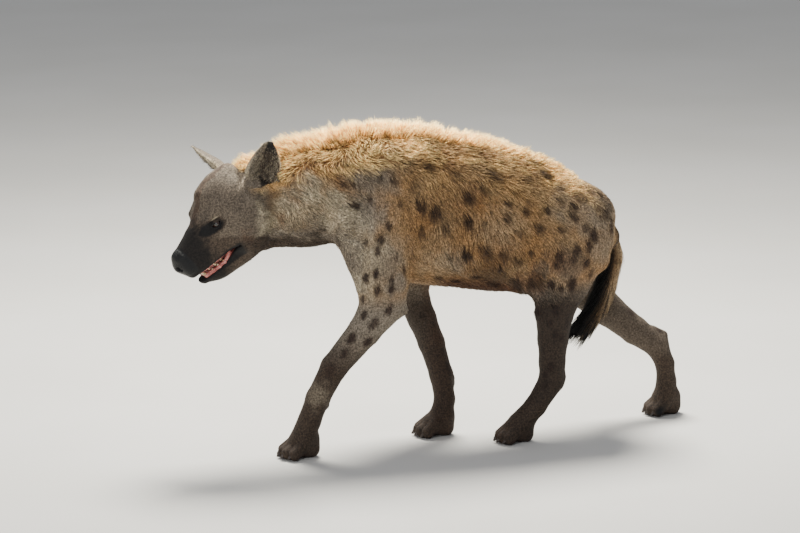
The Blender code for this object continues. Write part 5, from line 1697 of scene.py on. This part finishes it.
@dataclass
class Mane:
    """The long hair of the crest: forward on the neck, upright at the withers, back on the rump."""

    coat: Coat
    most: int = 12000
    width: float = 0.0014
    spread: float = 0.038
    density: float = 420000.0
    seed: int = 31

    def sown(self) -> tuple[Array, Array]:
        """Roots and normals along the crest, thinning to the sides."""
        at = self.coat.skin.points[self.coat.skin.triangles].mean(axis=1)
        line = np.array(MANE)
        high = at[:, 2] > np.interp(at[:, 0], line[:, 0], line[:, 1]) - 0.055
        kept = high & (np.abs(at[:, 1]) < self.spread) & (at[:, 0] > -0.485) & (at[:, 0] < 0.46)
        places, normals = self.coat.scatter(kept, self.density, self.seed)
        draw = np.random.default_rng(self.seed)
        inner = draw.random(len(places)) < 1.1 - np.abs(places[:, 1]) / self.spread
        inner &= normals[:, 2] > 0.25
        chosen = draw.permutation(np.flatnonzero(inner))[:self.most]
        return places[chosen], normals[chosen]

    def tufts(self) -> Tufts:
        """All the hair of the mane."""
        places, normals = self.sown()
        draw, count, line = np.random.default_rng(self.seed + 1), len(places), np.array(MANE)
        x = places[:, 0]
        lean = np.interp(x, line[:, 0], line[:, 3]) + draw.normal(0.0, 9.0, count)
        lean = np.radians(lean + 12.0 * ripple(places, 0.03, 33))
        share = places[:, 1] / self.spread
        out = 0.62 * share + 0.1 * draw.normal(size=count)
        ways = unit(np.stack([np.sin(lean), out, np.cos(lean)], axis=1))
        lengths = np.interp(x, line[:, 0], line[:, 2]) * draw.uniform(0.62, 1.12, count)
        lengths *= (1.0 - 0.38 * np.abs(share)) * (1.0 + 0.16 * ripple(places, 0.025, 34))
        lengths *= blend(np.ones(count), 0.6, ease(-0.455, -0.485, x))
        bends = np.stack([0.16 * np.sign(lean), 0.2 * share, -0.12 * np.abs(np.sin(lean)) - 0.05],
                         axis=1) * draw.uniform(0.5, 1.4, count)[:, None]
        across = unit(np.cross(ways, unit(draw.normal(size=(count, 3)))))
        marks = np.zeros((count, len(Tone)))
        marks[:, Tone.GOLD] = 1.0
        marks[:, Tone.RUST] = 0.4 * ease(0.12, 0.34, x) * draw.random(count)
        marks[:, Tone.DARK] = 0.4 * ease(-0.47, -0.5, x)
        made = Tufts(LONG, places - normals * 0.0015, ways, across, lengths,
                     self.width * draw.uniform(0.7, 1.3, count), bends, marks, draw.random(count),
                     wrapped(places, [(-0.5, 0.0, 0.6), (0.4, 0.0, 0.6)], 0))
        made.clump(0.013, 0.55, 35)
        return made


@dataclass
class TailHair:
    """The bushy tail: a black brush at the front and the end, brown hair behind."""

    count: int = 7600
    width: float = 0.0019
    seed: int = 51

    def tufts(self) -> Tufts:
        """All the hair of the tail, rooted round its bone."""
        draw = np.random.default_rng(self.seed)
        joints = TailBone().joints
        line = np.array([joint[:3] for joint in joints])
        radii = np.array([joint[3] for joint in joints]) * TailBone().share
        share = draw.random(self.count) ** 0.8
        steps = np.concatenate([[0], np.cumsum(np.linalg.norm(np.diff(line, axis=0), axis=1))])
        at = share * steps[-1]
        middle = np.stack([np.interp(at, steps, line[:, i]) for i in range(3)], axis=1)
        radius = np.interp(at, steps, radii)
        turn = draw.random(self.count) * TURN
        out = np.stack([np.cos(turn), np.sin(turn), np.zeros(self.count)], axis=1)
        bone = unit(np.stack([np.interp(at, steps[1:], unit(np.diff(line, axis=0))[:, i])
                              for i in range(3)], axis=1))
        out = unit(out - (out * bone).sum(axis=1)[:, None] * bone)
        front = ease(0.35, -0.45, out[:, 0])
        lengths = (0.066 + 0.034 * share) * draw.uniform(0.65, 1.2, self.count)
        lengths *= blend(np.ones(self.count), 0.82, front * (1 - share))
        ways = unit(bone + out * (0.2 + 0.16 * front)[:, None])
        bends = (np.array((-0.44, 0.0, -0.05)) * (front * draw.uniform(0.5, 1.2, self.count))[:, None]
                 + np.array((-0.05, 0.0, -0.1)) - out * 0.14)
        marks = np.zeros((self.count, len(Tone)))
        black = np.maximum(front, ease(0.62, 0.85, share + 0.15 * draw.normal(size=self.count)))
        marks[:, Tone.BLACK] = black
        marks[:, Tone.PALE] = 0.35 * (1 - black)
        marks[:, Tone.DARK] = 0.25 * (1 - black)
        across = unit(np.cross(ways, unit(draw.normal(size=(self.count, 3)))))
        flat = np.stack([turn / TURN, share], axis=1) * 0.99 + 0.005
        made = Tufts(LONG, middle + out * (radius * 0.8)[:, None], ways, across, lengths,
                     self.width * draw.uniform(0.7, 1.3, self.count), bends, marks,
                     draw.random(self.count), flat)
        made.clump(0.016, 0.3, 53)
        return made


@dataclass
class EarHair:
    """The long sparse hair that crosses the inside of each ear from its front edge."""

    coat: Coat
    most: int = 1500
    width: float = 0.0011
    density: float = 900000.0
    seed: int = 71

    def tufts(self) -> Tufts:
        """The hair of both ears."""
        corners = self.coat.skin.points[self.coat.skin.triangles].mean(axis=1)
        parts = []
        for number, ear in enumerate(EARS):
            frame = np.array(ear.frame())
            back = np.linalg.inv(frame)
            up, side, out = carried(corners, back).T
            kept = ((up > -0.05 * ear.height) & (up < 0.85 * ear.height) & (np.abs(side) < 0.04)
                    & (out < 0.006) & (out > -0.034))
            places, normals = self.coat.scatter(kept, self.density, self.seed + number)
            inside = normals @ frame[:3, 2] > 0.3
            chosen = np.random.default_rng(self.seed).permutation(np.flatnonzero(inside))[:self.most]
            parts.append((places[chosen], normals[chosen], np.repeat(frame[None, :3, :3], len(chosen), 0),
                          carried(places[chosen], back) / ear.height,
                          np.full(len(chosen), math.copysign(1.0, ear.opens[1]))))
        places, normals, frames, local, way = (np.concatenate(part) for part in zip(*parts))
        draw, count = np.random.default_rng(self.seed + 2), len(places)
        lean = np.stack([0.75 + 0.25 * draw.normal(size=count), -0.9 * local[:, 1] / 0.3 * 0.4
                         + 0.28 * draw.normal(size=count), np.full(count, 0.42)], axis=1)
        ways = unit((frames @ lean[:, :, None])[:, :, 0])
        lengths = draw.uniform(0.01, 0.021, count) * ease(0.95, 0.35, local[:, 0]) + 0.004
        marks = np.zeros((count, len(Tone)))
        ahead = local[:, 1] * way
        pale = draw.random(count) < np.interp(ahead, (-0.25, -0.04, 0.03, 0.08, 0.25),
                                              (0.66, 0.14, 0.15, 0.65, 0.4))
        marks[:, Tone.GREY] = 1.0
        marks[:, Tone.PALE] = 0.65 * pale
        marks[:, Tone.DARK] = 0.8 * ~pale * ease(0.14, 0.04, ahead)
        across = unit(np.cross(ways, unit(draw.normal(size=(count, 3)))))
        flat = np.stack([local[:, 1] + 0.5, local[:, 0]], axis=1)
        flat = 0.003 + 0.994 * (flat - flat.min(axis=0)) / np.ptp(flat, axis=0)
        return Tufts(BENT, places - normals * 0.0008, ways, across, lengths,
                     self.width * draw.uniform(0.7, 1.3, count), -normals * 0.25, marks,
                     draw.random(count), flat)


def turned_faces(rings: int, around: int) -> tuple[Array, Array]:
    """Faces of a form turned round a line, between its two end points.

    Args:
        rings: How many rings of points it has.
        around: How many points a ring has.

    Returns:
        The corners of the four-sided faces and of the three-sided ones at the ends.
    """
    i = np.arange(around)
    after, last = (i + 1) % around, 1 + (rings - 1) * around
    quads = [np.stack([start + i, start + around + i, start + around + after, start + after], axis=1)
             for start in range(1, last, around)]
    caps = [np.stack([0 * i, 1 + i, 1 + after], axis=1),
            np.stack([0 * i + last + around, last + after, last + i], axis=1)]
    return np.concatenate(quads), np.concatenate(caps)


@dataclass(frozen=True)
class Eyeball:
    """One eye: a ball with the cornea raised over its iris."""

    side: int
    around: int = 56
    rings: int = 36
    rise: float = 0.0011

    def mesh(self, workshop: Workshop) -> Object:
        """Turns the ball round the way it looks, finer towards the pupil."""
        centre, looks, across, up = (np.array(part) for part in Face().eye_axes(self.side))
        angle = np.pi * (np.arange(1, self.rings) / self.rings) ** 1.25
        turn = TURN * np.arange(self.around) / self.around
        radius = Face().eye_radius + self.rise * ease(0.62, 0.2, np.sin(angle)) * (angle < 1.5)
        rim = np.cos(turn)[:, None] * across + np.sin(turn)[:, None] * up
        ring = centre + (np.cos(angle) * radius)[:, None, None] * looks \
            + (np.sin(angle) * radius)[:, None, None] * rim
        front = centre + looks * (Face().eye_radius + self.rise)
        back = centre - looks * Face().eye_radius
        points = np.concatenate([front[None], ring.reshape(-1, 3), back[None]])
        off = np.repeat(np.where(angle < 1.57, np.sin(angle), 2.0), self.around)
        off = np.concatenate([[0.0], off, [2.0]])
        name = "eyeball_left" if self.side > 0 else "eyeball_right"
        faces = turned_faces(self.rings - 1, self.around)
        return workshop.mesh(name, carried(points, np.array(HEAD)), faces, {"iris": off})


@dataclass(frozen=True)
class Mouth:
    """The teeth, each on its gum, and the tongue, all in head axes."""

    lower: tuple = ((0.108, 0.0135, 0.0175, 0.0046), (0.088, 0.0225, 0.012, 0.005),
                    (0.072, 0.0268, 0.013, 0.0056), (0.055, 0.0305, 0.0115, 0.0056))
    upper: tuple = ((0.114, 0.0195, 0.013, 0.0044), (0.096, 0.027, 0.0085, 0.0046),
                    (0.078, 0.0308, 0.01, 0.0052), (0.06, 0.0335, 0.0085, 0.0052))
    tongue_start: tuple = (0.016, 0.0, 0.0115)
    tongue_end: tuple = (0.088, 0.0, 0.009)
    around: int = 18
    step: float = 0.0016

    def lathed(self, root: Vector, tip: Vector, radius: float, sizes: tuple) -> tuple:
        """A closed form turned round the line from root to tip; sizes are the radii along it."""
        way = np.array((tip - root).normalized())
        across = unit(np.cross(way, (0.3, 1.0, 0.2)))
        up = np.cross(way, across)
        turn = TURN * np.arange(self.around) / self.around
        rim = np.cos(turn)[:, None] * across + np.sin(turn)[:, None] * up
        shares = np.linspace(0.0, 1.0, len(sizes) + 1)[:-1]
        length = (tip - root).length
        rings = [np.array(root) + way * share * length + rim * radius * size
                 for share, size in zip(shares, sizes)]
        points = np.concatenate([np.array(root)[None], *rings, np.array(tip)[None]])
        quads, caps = turned_faces(len(sizes), self.around)
        return points, quads[:, [0, 3, 2, 1]], caps[:, [0, 2, 1]]

    def teeth(self, workshop: Workshop) -> Object:
        """All the teeth that the open mouth shows."""
        face, parts = Face(), []
        for rows, level, way in ((self.lower, face.lip_line - face.mouth_open, 1.0),
                                 (self.upper, face.lip_line - 0.001, -1.0)):
            for along, across, height, size in rows:
                for side in SIDES:
                    root = HEAD @ Vector((along, across * side, level - 0.0055 * way))
                    tip = HEAD @ Vector((along + 0.12 * height, across * side * 0.97,
                                         level + height * 0.95 * way))
                    sizes = (0.9, 1.0, 0.97, 0.88, 0.74, 0.55, 0.32) if height > 0.012 \
                        else (0.95, 1.05, 1.02, 0.96, 0.84, 0.64, 0.38)
                    parts.append(self.lathed(root, tip, size * 0.92, sizes))
        return workshop.mesh("teeth", *self.joined(parts), {})

    @staticmethod
    def joined(parts: list) -> tuple:
        """Several closed forms as one set of points and faces."""
        points = np.concatenate([part[0] for part in parts])
        starts = np.concatenate([[0], np.cumsum([len(part[0]) for part in parts])[:-1]])
        quads = np.concatenate([part[1] + start for part, start in zip(parts, starts)])
        caps = np.concatenate([part[2] + start for part, start in zip(parts, starts)])
        return points, [quads, caps]

    def gums(self, workshop: Workshop) -> Object:
        """The wet gums along both jaws, swollen round each tooth."""
        face, clay = Face(), Anatomy()
        for rows, level, thick, way in ((self.lower, face.lip_line - face.mouth_open, 0.006, 1.0),
                                        (self.upper, face.lip_line, 0.0032, -1.0)):
            for side in SIDES:
                line = [(along, across * side, level + 0.0012 * way) for along, across, _, _ in rows]
                line.append((0.03, 0.034 * side, face.lip_line - 0.008 * (way > 0)))
                for start, end in zip(line, line[1:]):
                    clay.add([Muscle(start, end, (thick * 0.75, thick), (thick * 0.75, thick), 0.002,
                                     frame=HEAD)])
                for along, across, _, size in rows:
                    place = (along, across * side, level + 0.002 * way)
                    clay.add([Muscle(place, (place[0] + 0.0004, *place[1:]), (size * 1.22, thick),
                                     (size * 1.22, thick), 0.002, frame=HEAD)])
        clay.add([Muscle((0.03, 0.0, face.lip_line - face.mouth_open - 0.001),
                         (0.108, 0.0, face.lip_line - face.mouth_open - 0.001), (0.026, 0.004),
                         (0.012, 0.004), 0.004, frame=HEAD)])
        low, step = (-0.68, -0.06, 0.42), self.step
        points, faces = surface_net(clay.grid(low, (-0.46, 0.06, 0.62), step), low, step,
                                    lambda at: np.ones(len(at), bool))
        points = clay.settle(points, lambda at: 0.0004 * ripple(at, 0.004, 90))[0]
        return workshop.mesh("gums", points, [faces], {})

    def tongue(self, workshop: Workshop) -> Object:
        """The tongue, thin at its edge, with a furrow down its middle."""
        line = Muscle(self.tongue_start, self.tongue_end, (0.0262, 0.0085), (0.0178, 0.0072), 0.01,
                      frame=HEAD)
        clay = Anatomy()
        clay.add([line])
        clay.add([Muscle((0.02, 0.0, 0.0222), (0.105, 0.0, 0.0182), (0.0022, 0.0024), (0.0016, 0.002),
                         0.004, frame=HEAD)], carve=True)
        low, high, step = (-0.66, -0.05, 0.42), (-0.46, 0.05, 0.6), self.step
        points, faces = surface_net(clay.grid(low, high, step), low, step,
                                    lambda at: np.ones(len(at), bool))
        points = clay.settle(points, lambda at: np.full(len(at), 0.0))[0]
        return workshop.mesh("tongue_skin", points, [faces], {})


@dataclass(frozen=True)
class Claws:
    """The blunt dark claws of all four paws."""

    sizes: tuple = (1.0, 1.04, 1.02, 0.97, 0.9, 0.8, 0.68, 0.5)
    radius: float = 0.0048

    def build(self, workshop: Workshop) -> Object:
        """One claw on the front of each toe, pointing forward and down."""
        parts = []
        for paw in PAWS:
            for place, forward in paw.toes:
                across = place * paw.width * paw.toe_spread
                root = Vector((forward * paw.length + 0.005, across, 0.018))
                tip = root + Vector((paw.claw_length + 0.001, 0.0, -0.0125))
                parts.append(Mouth().lathed(paw.frame() @ root, paw.frame() @ tip, self.radius,
                                            self.sizes))
        return workshop.mesh("claws", *Mouth.joined(parts), {})


class Wiring:
    """Places shader nodes in one tree and joins them."""

    def __init__(self, tree: NodeTree) -> None:
        """Takes the tree to work in."""
        self.tree = tree

    def node(self, kind: str, **settings) -> Node:
        """Adds a node and sets its fields."""
        made = self.tree.nodes.new(kind)
        for key, value in settings.items():
            setattr(made, key, value)
        return made

    def put(self, socket: NodeSocket, value) -> None:
        """Joins a socket to another one, or sets its number or colour."""
        if isinstance(value, NodeSocket):
            self.tree.links.new(value, socket)
        elif value is not None:
            socket.default_value = value

    def math(self, kind: str, first, second) -> NodeSocket:
        """A sum, product or other step with two numbers."""
        made = self.node("ShaderNodeMath", operation=kind)
        self.put(made.inputs[0], first)
        self.put(made.inputs[1], second)
        return made.outputs[0]

    def mix(self, share, first, second) -> NodeSocket:
        """Two colours mixed by a share."""
        made = self.node("ShaderNodeMix", data_type="RGBA")
        self.put(made.inputs[0], share)
        self.put(made.inputs[6], first)
        self.put(made.inputs[7], second)
        return made.outputs[2]

    def scaled(self, value, low: float, high: float, new_low: float = 0.0,
               new_high: float = 1.0) -> NodeSocket:
        """A number carried from one range to another and held there."""
        made = self.node("ShaderNodeMapRange")
        for i, number in enumerate((value, low, high, new_low, new_high)):
            self.put(made.inputs[i], number)
        return made.outputs[0]

    def texture(self, kind: str, scale: float, **settings) -> Node:
        """A texture in the object's own metres."""
        made = self.node(kind, **settings)
        self.put(made.inputs["Vector"], self.node("ShaderNodeTexCoord").outputs["Object"])
        self.put(made.inputs["Scale"], scale)
        return made

    def noise(self, scale: float, detail: float) -> NodeSocket:
        """Soft irregular values over the surface."""
        made = self.texture("ShaderNodeTexNoise", scale)
        self.put(made.inputs["Detail"], detail)
        return made.outputs["Fac"]

    def veins(self, scale: float, detail: float, low: float, high: float) -> NodeSocket:
        """Noise spread out from 0 to 1."""
        return self.scaled(self.noise(scale, detail), low, high)

    def pebbles(self, scale: float) -> NodeSocket:
        """Rounded cells, as on a wet nose."""
        made = self.texture("ShaderNodeTexVoronoi", scale, feature="DISTANCE_TO_EDGE")
        return made.outputs["Distance"]

    def value(self, name: str) -> Node:
        """The values that a mesh carries under a name."""
        return self.node("ShaderNodeAttribute", attribute_name=name)

    def parts(self, vector) -> tuple:
        """The three numbers of a vector."""
        made = self.node("ShaderNodeSeparateXYZ")
        self.put(made.inputs[0], vector)
        return tuple(made.outputs)

    def bump(self, shader: Node, height, distance: float, strength: float) -> None:
        """Raises the surface by a height."""
        made = self.node("ShaderNodeBump")
        for key, value in (("Distance", distance), ("Strength", strength), ("Height", height)):
            self.put(made.inputs[key], value)
        self.put(shader.inputs["Normal"], made.outputs[0])


@dataclass(frozen=True)
class CoatColours:
    """The colours of the coat, each from the fur itself as daylight shows it."""

    ground: tuple = shade(160, 131, 95)
    ground_warm: tuple = shade(160, 121, 78)
    grey: tuple = shade(134, 124, 110)
    gold_root: tuple = shade(162, 104, 54)
    gold_tip: tuple = shade(255, 223, 150)
    pale: tuple = shade(194, 180, 152)
    rust: tuple = shade(122, 76, 46)
    dark: tuple = shade(60, 46, 35)
    spot: tuple = shade(44, 28, 20)
    black: tuple = shade(13, 13, 15)

    def group(self) -> NodeTree:
        """Builds the group that turns the marks of a place into the colour of its hair, with painted shade
        towards the roots and a painted glow on golden hair.
        """
        tree = bpy.data.node_groups.new("coat_colour", "ShaderNodeTree")
        for name in ("Tones", "Shades", "Spots", "Along", "Luck"):
            kind = "NodeSocketVector" if name.endswith("s") else "NodeSocketFloat"
            tree.interface.new_socket(name, in_out="INPUT", socket_type=kind)
        tree.interface.new_socket("Colour", in_out="OUTPUT", socket_type="NodeSocketColor")
        wire = Wiring(tree)
        given, out = wire.node("NodeGroupInput"), wire.node("NodeGroupOutput")
        grey, pale, rust = wire.parts(given.outputs["Tones"])
        dark, black, gold = wire.parts(given.outputs["Shades"])
        spot = wire.parts(given.outputs["Spots"])[0]
        along, luck = given.outputs["Along"], given.outputs["Luck"]
        colour = wire.mix(wire.veins(9.0, 2.0, 0.35, 0.65), self.ground, self.ground_warm)
        colour = wire.mix(grey, colour, self.grey)
        tip = wire.scaled(along, 0.1, 0.85)
        colour = wire.mix(gold, colour, wire.mix(tip, self.gold_root, self.gold_tip))
        for share, tone in ((pale, self.pale), (rust, self.rust), (dark, self.dark)):
            colour = wire.mix(share, colour, tone)
        colour = wire.mix(wire.math("MULTIPLY", spot, 0.93), colour, self.spot)
        colour = wire.mix(black, colour, self.black)
        # Painted shade: hair is painted darker towards its root, as the shade between the tufts; luck and
        # the fine noise add tone that varies at random.
        painted_light_and_tone = wire.scaled(along, 0.0, 0.7, 0.4, 1.16)
        varied = wire.scaled(luck, 0.0, 1.0, 0.58, 1.42)
        painted_light_and_tone = wire.math("MULTIPLY", painted_light_and_tone, varied)
        # Painted glow: golden hair is painted up to 1.38 times brighter, as sunlight through the mane.
        painted_light_and_tone = wire.math("MULTIPLY", painted_light_and_tone, wire.scaled(gold, 0.0, 1.0, 1.0, 1.38))
        fine = wire.scaled(wire.noise(230.0, 3.0), 0.34, 0.66, 0.52, 1.48)
        painted_light_and_tone = wire.math("MULTIPLY", painted_light_and_tone, fine)
        lit = wire.node("ShaderNodeVectorMath", operation="SCALE")
        wire.put(lit.inputs[0], colour)
        wire.put(lit.inputs["Scale"], painted_light_and_tone)
        wire.put(out.inputs[0], lit.outputs[0])
        return tree


def fresh(name: str, **settings) -> tuple:
    """A new material: the wiring, its shader and the material."""
    material = bpy.data.materials.new(name)
    material.use_nodes = True
    shader = material.node_tree.nodes["Principled BSDF"]
    for key, value in settings.items():
        shader.inputs[key.replace("_", " ")].default_value = value
    return Wiring(material.node_tree), shader, material


@dataclass(frozen=True)
class Mottle:
    """A finish of two colours in soft patches; a relief has scale, detail, height and strength."""

    name: str
    roughness: float
    veins: tuple
    first: tuple
    second: tuple
    relief: tuple = ()

    def material(self) -> Material:
        """Builds the finish; a relief without detail is made of pebbles."""
        wire, shader, material = fresh(self.name, Roughness=self.roughness)
        colour = wire.mix(wire.veins(*self.veins), shade(*self.first), shade(*self.second))
        wire.put(shader.inputs["Base Color"], colour)
        if self.relief:
            scale, detail, height, strength = self.relief
            raised = wire.noise(scale, detail) if detail else wire.pebbles(scale)
            wire.bump(shader, raised, height, strength)
        return material


TOOTH = Mottle("tooth_ivory", 0.32, (160.0, 3.0, 0.35, 0.7), (222, 206, 170), (178, 148, 100))
TONGUE = Mottle("tongue_pink", 0.38, (90.0, 3.0, 0.3, 0.7), (176, 112, 104), (140, 78, 74),
                (900.0, 0.0, 0.0004, 0.7))
GUM = Mottle("gum_pink", 0.26, (130.0, 4.0, 0.36, 0.64), (206, 132, 122), (146, 74, 68),
             (600.0, 2.0, 0.0004, 0.5))
CLAW = Mottle("claw_horn", 0.38, (240.0, 3.0, 0.35, 0.65), (34, 27, 23), (66, 54, 45),
              (500.0, 2.0, 0.0003, 0.5))
FLOOR = Mottle("floor_pale", 0.75, (1.5, 2.0, 0.3, 0.7), (205, 203, 198), (211, 209, 205))


@dataclass
class Finishes:
    """The materials of the coat, the skin and the eyes."""

    coat: NodeTree

    def hue(self, wire: Wiring, along, luck) -> NodeSocket:
        """The coat's colour from the marks that the mesh carries."""
        made = wire.node("ShaderNodeGroup", node_tree=self.coat)
        for key, name in (("Tones", "tones"), ("Shades", "shades"), ("Spots", "spots")):
            wire.put(made.inputs[key], wire.value(name).outputs["Vector"])
        wire.put(made.inputs["Along"], along)
        wire.put(made.inputs["Luck"], luck)
        return made.outputs[0]

    def fur(self, name: str, roughness: float) -> Material:
        """The finish of tufts and locks."""
        wire, shader, material = fresh(name, Roughness=roughness, Sheen_Weight=0.03,
                                       Sheen_Roughness=0.5, Specular_IOR_Level=0.22)
        along, luck, _ = wire.parts(wire.value("strand").outputs["Vector"])
        wire.put(shader.inputs["Base Color"], self.hue(wire, along, luck))
        return material

    def skin(self) -> Material:
        """The skin: short underfur in the coat's colours with painted shade from the tufts above it, the
        pebbled nose pad and the inside of the mouth.
        """
        wire, shader, material = fresh("skin_under_coat", Specular_IOR_Level=0.3)
        luck = wire.scaled(wire.noise(420.0, 4.0), 0.3, 0.7, 0.1, 0.9)
        # Painted shade: the underfur takes the coat's colour at 0.3 along the hair, darker than the tufts,
        # as the shade under them.
        fur = self.hue(wire, 0.3, luck)
        _, bare, mouth = wire.parts(wire.value("spots").outputs["Vector"])
        pink = wire.mix(wire.veins(60.0, 3.0, 0.35, 0.65), shade(122, 66, 60), shade(92, 46, 44))
        colour = wire.mix(mouth, fur, pink)
        pads = wire.scaled(wire.pebbles(420.0), 0.0, 0.25)
        pad = wire.mix(pads, shade(5, 5, 6), shade(15, 15, 16))
        wire.put(shader.inputs["Base Color"], wire.mix(bare, colour, pad))
        wet = wire.math("MAXIMUM", bare, mouth)
        wire.put(shader.inputs["Roughness"], wire.scaled(wet, 0.0, 1.0, 0.8, 0.42))
        hairs = wire.math("MULTIPLY", wire.noise(900.0, 3.0), 0.6)
        height = wire.math("ADD", wire.math("MULTIPLY", pads, bare),
                           wire.math("MULTIPLY", hairs, wire.math("SUBTRACT", 1.0, wet)))
        wire.bump(shader, height, 0.0006, 0.8)
        return material

    def eye(self) -> Material:
        """A wet dark brown eye with a black pupil."""
        wire, shader, material = fresh("eye_brown", Roughness=0.1, Coat_Weight=0.6, Coat_Roughness=0.03)
        off = wire.value("iris").outputs["Fac"]
        ring = wire.mix(wire.veins(900.0, 2.0, 0.3, 0.7), shade(58, 32, 18), shade(30, 17, 11))
        colour = wire.mix(wire.scaled(off, 0.26, 0.32), shade(3, 3, 4), ring)
        colour = wire.mix(wire.scaled(off, 0.58, 0.66), colour, shade(15, 10, 9))
        wire.put(shader.inputs["Base Color"], colour)
        return material


@dataclass
class Studio:
    """The floor, the light and the camera."""

    view: View
    workshop: Workshop
    floor_half: float = 9.0

    def floor(self, material: Material) -> None:
        """A wide plain floor."""
        mesh = bpy.data.meshes.new("floor")
        half = self.floor_half
        mesh.from_pydata([(-half, -half, 0), (half, -half, 0), (half, half, 0), (-half, half, 0)], [],
                         [(0, 1, 2, 3)])
        floor = bpy.data.objects.new("floor", mesh)
        bpy.context.scene.collection.objects.link(floor)
        mesh.materials.append(material)

    def lamp(self, name: str, place: tuple, size: float, power: float, colour: tuple) -> None:
        """A large soft lamp that points at the animal."""
        data = bpy.data.lights.new(name, "AREA")
        data.shape, data.size, data.energy, data.color = "DISK", size, power, colour
        lamp = bpy.data.objects.new(name, data)
        lamp.location = place
        aim = Vector((0.0, 0.0, 0.45)) - Vector(place)
        lamp.rotation_euler = aim.to_track_quat("-Z", "Y").to_euler()
        bpy.context.scene.collection.objects.link(lamp)

    def light(self) -> None:
        """Warm light from above and behind, soft fill from the front, and a pale room."""
        self.lamp("key_above", (0.2, 1.2, 3.3), 1.4, 420.0, (1.0, 0.97, 0.88))
        self.lamp("fill_front", (-2.2, -3.4, 2.2), 2.4, 74.0, (0.97, 0.98, 1.0))
        world = bpy.data.worlds.new("pale_room")
        world.use_nodes = True
        ground = world.node_tree.nodes["Background"]
        ground.inputs["Color"].default_value = (0.88, 0.91, 0.96, 1.0)
        ground.inputs["Strength"].default_value = 0.48
        bpy.context.scene.world = world

    def camera(self) -> None:
        """The camera at the photograph's angle."""
        data = bpy.data.cameras.new("camera")
        data.lens, data.sensor_width = self.view.lens, self.view.sensor
        data.clip_end = 100.0
        camera = bpy.data.objects.new("camera", data)
        right, up, back = self.view.axes()
        turn = Matrix((right, up, back)).transposed().to_4x4()
        camera.matrix_world = Matrix.Translation(self.view.place() + Vector(self.workshop.shift)) @ turn
        bpy.context.scene.collection.objects.link(camera)
        bpy.context.scene.camera = camera


class Hyena:
    """The whole animal: skin, coat, mane, tail, eyes, mouth and claws."""

    FLESH = ("head", "lower_jaw", "nose", "neck", "torso", "ear_left", "ear_right", "leg_front_left",
             "leg_front_right", "leg_hind_left", "leg_hind_right", "paw_front_left", "paw_front_right",
             "paw_hind_left", "paw_hind_right")

    def __init__(self, workshop: Workshop) -> None:
        """Makes the finishes and settles the skin, the lie of the hair and the markings."""
        self.workshop = workshop
        self.finishes = Finishes(CoatColours().group())
        self.skin, self.lie = Skin(), Lie()
        self.skin.build()
        LOG.info("skin: %d faces", len(self.skin.faces))
        self.lie.build()
        self.markings = Markings(self.skin)
        self.markings.build()

    def dress_skin(self) -> None:
        """The skin as one piece, in place of all the solids of the flesh."""
        ways = self.lie.at(self.skin.points, self.skin.normals)[0]
        marks = self.markings.marks(self.skin.points, ways)
        sizes = np.array([len(face) for face in self.skin.faces])
        groups = [np.array([face for face in self.skin.faces if len(face) == size])
                  for size in np.unique(sizes)]
        piece = self.workshop.mesh("skin", self.skin.points, groups, self.workshop.marks(marks))
        self.workshop.hand_over(piece, self.finishes.skin(), "body_coat", *self.FLESH)

    def dress_coat(self) -> None:
        """The short coat, the mane and the tail's bush."""
        fur = self.finishes.fur("fur_short", 0.62)
        hair = self.finishes.fur("hair_long", 0.52)
        coat = Coat(self.skin, self.lie, self.markings)
        coat.build(self.workshop, fur)
        mane = self.workshop.tufts("mane_hair", Mane(coat).tufts())
        self.workshop.hand_over(mane, hair, "mane_hair", "mane")
        ears = self.workshop.tufts("ear_hair", EarHair(coat).tufts())
        self.workshop.hand_over(ears, hair, "ear_coat")
        tail = self.workshop.tufts("tail_hair", TailHair().tufts())
        self.workshop.hand_over(tail, hair, "tail_hair", "tail")

    def dress_head(self) -> None:
        """Eyes, teeth, tongue and claws."""
        eye = self.finishes.eye()
        for side, node in ((1, "eye_left"), (-1, "eye_right")):
            self.workshop.hand_over(Eyeball(side).mesh(self.workshop), eye, "eye", node)
        mouth = Mouth()
        self.workshop.hand_over(mouth.teeth(self.workshop), TOOTH.material(), "head_coat")
        self.workshop.hand_over(mouth.gums(self.workshop), GUM.material(), "tongue_skin")
        self.workshop.hand_over(mouth.tongue(self.workshop), TONGUE.material(), "tongue_skin", "tongue")
        self.workshop.hand_over(Claws().build(self.workshop), CLAW.material(), "paw_coat")


def settled_shift() -> Array:
    """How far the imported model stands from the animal's own axes."""
    low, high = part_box("eye_left")
    centre = HEAD @ Vector(Face.on(Face().eye_place, 1))
    shift = [(low[i] + high[i]) / 2 - centre[i] for i in range(3)]
    shift[2] = 0.0
    return np.array(shift)


def main() -> None:
    """Builds the animal in its studio."""
    logging.basicConfig(level=logging.INFO, format="%(message)s")
    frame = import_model()
    LOG.info("%d solids loaded", len(frame["nodes"]))
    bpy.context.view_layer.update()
    workshop = Workshop(settled_shift())
    view = View()
    hyena = Hyena(workshop)
    hyena.dress_skin()
    hyena.dress_head()
    hyena.dress_coat()
    studio = Studio(view, workshop)
    studio.floor(FLOOR.material())
    studio.light()
    studio.camera()


if __name__ == "__main__":
    main()
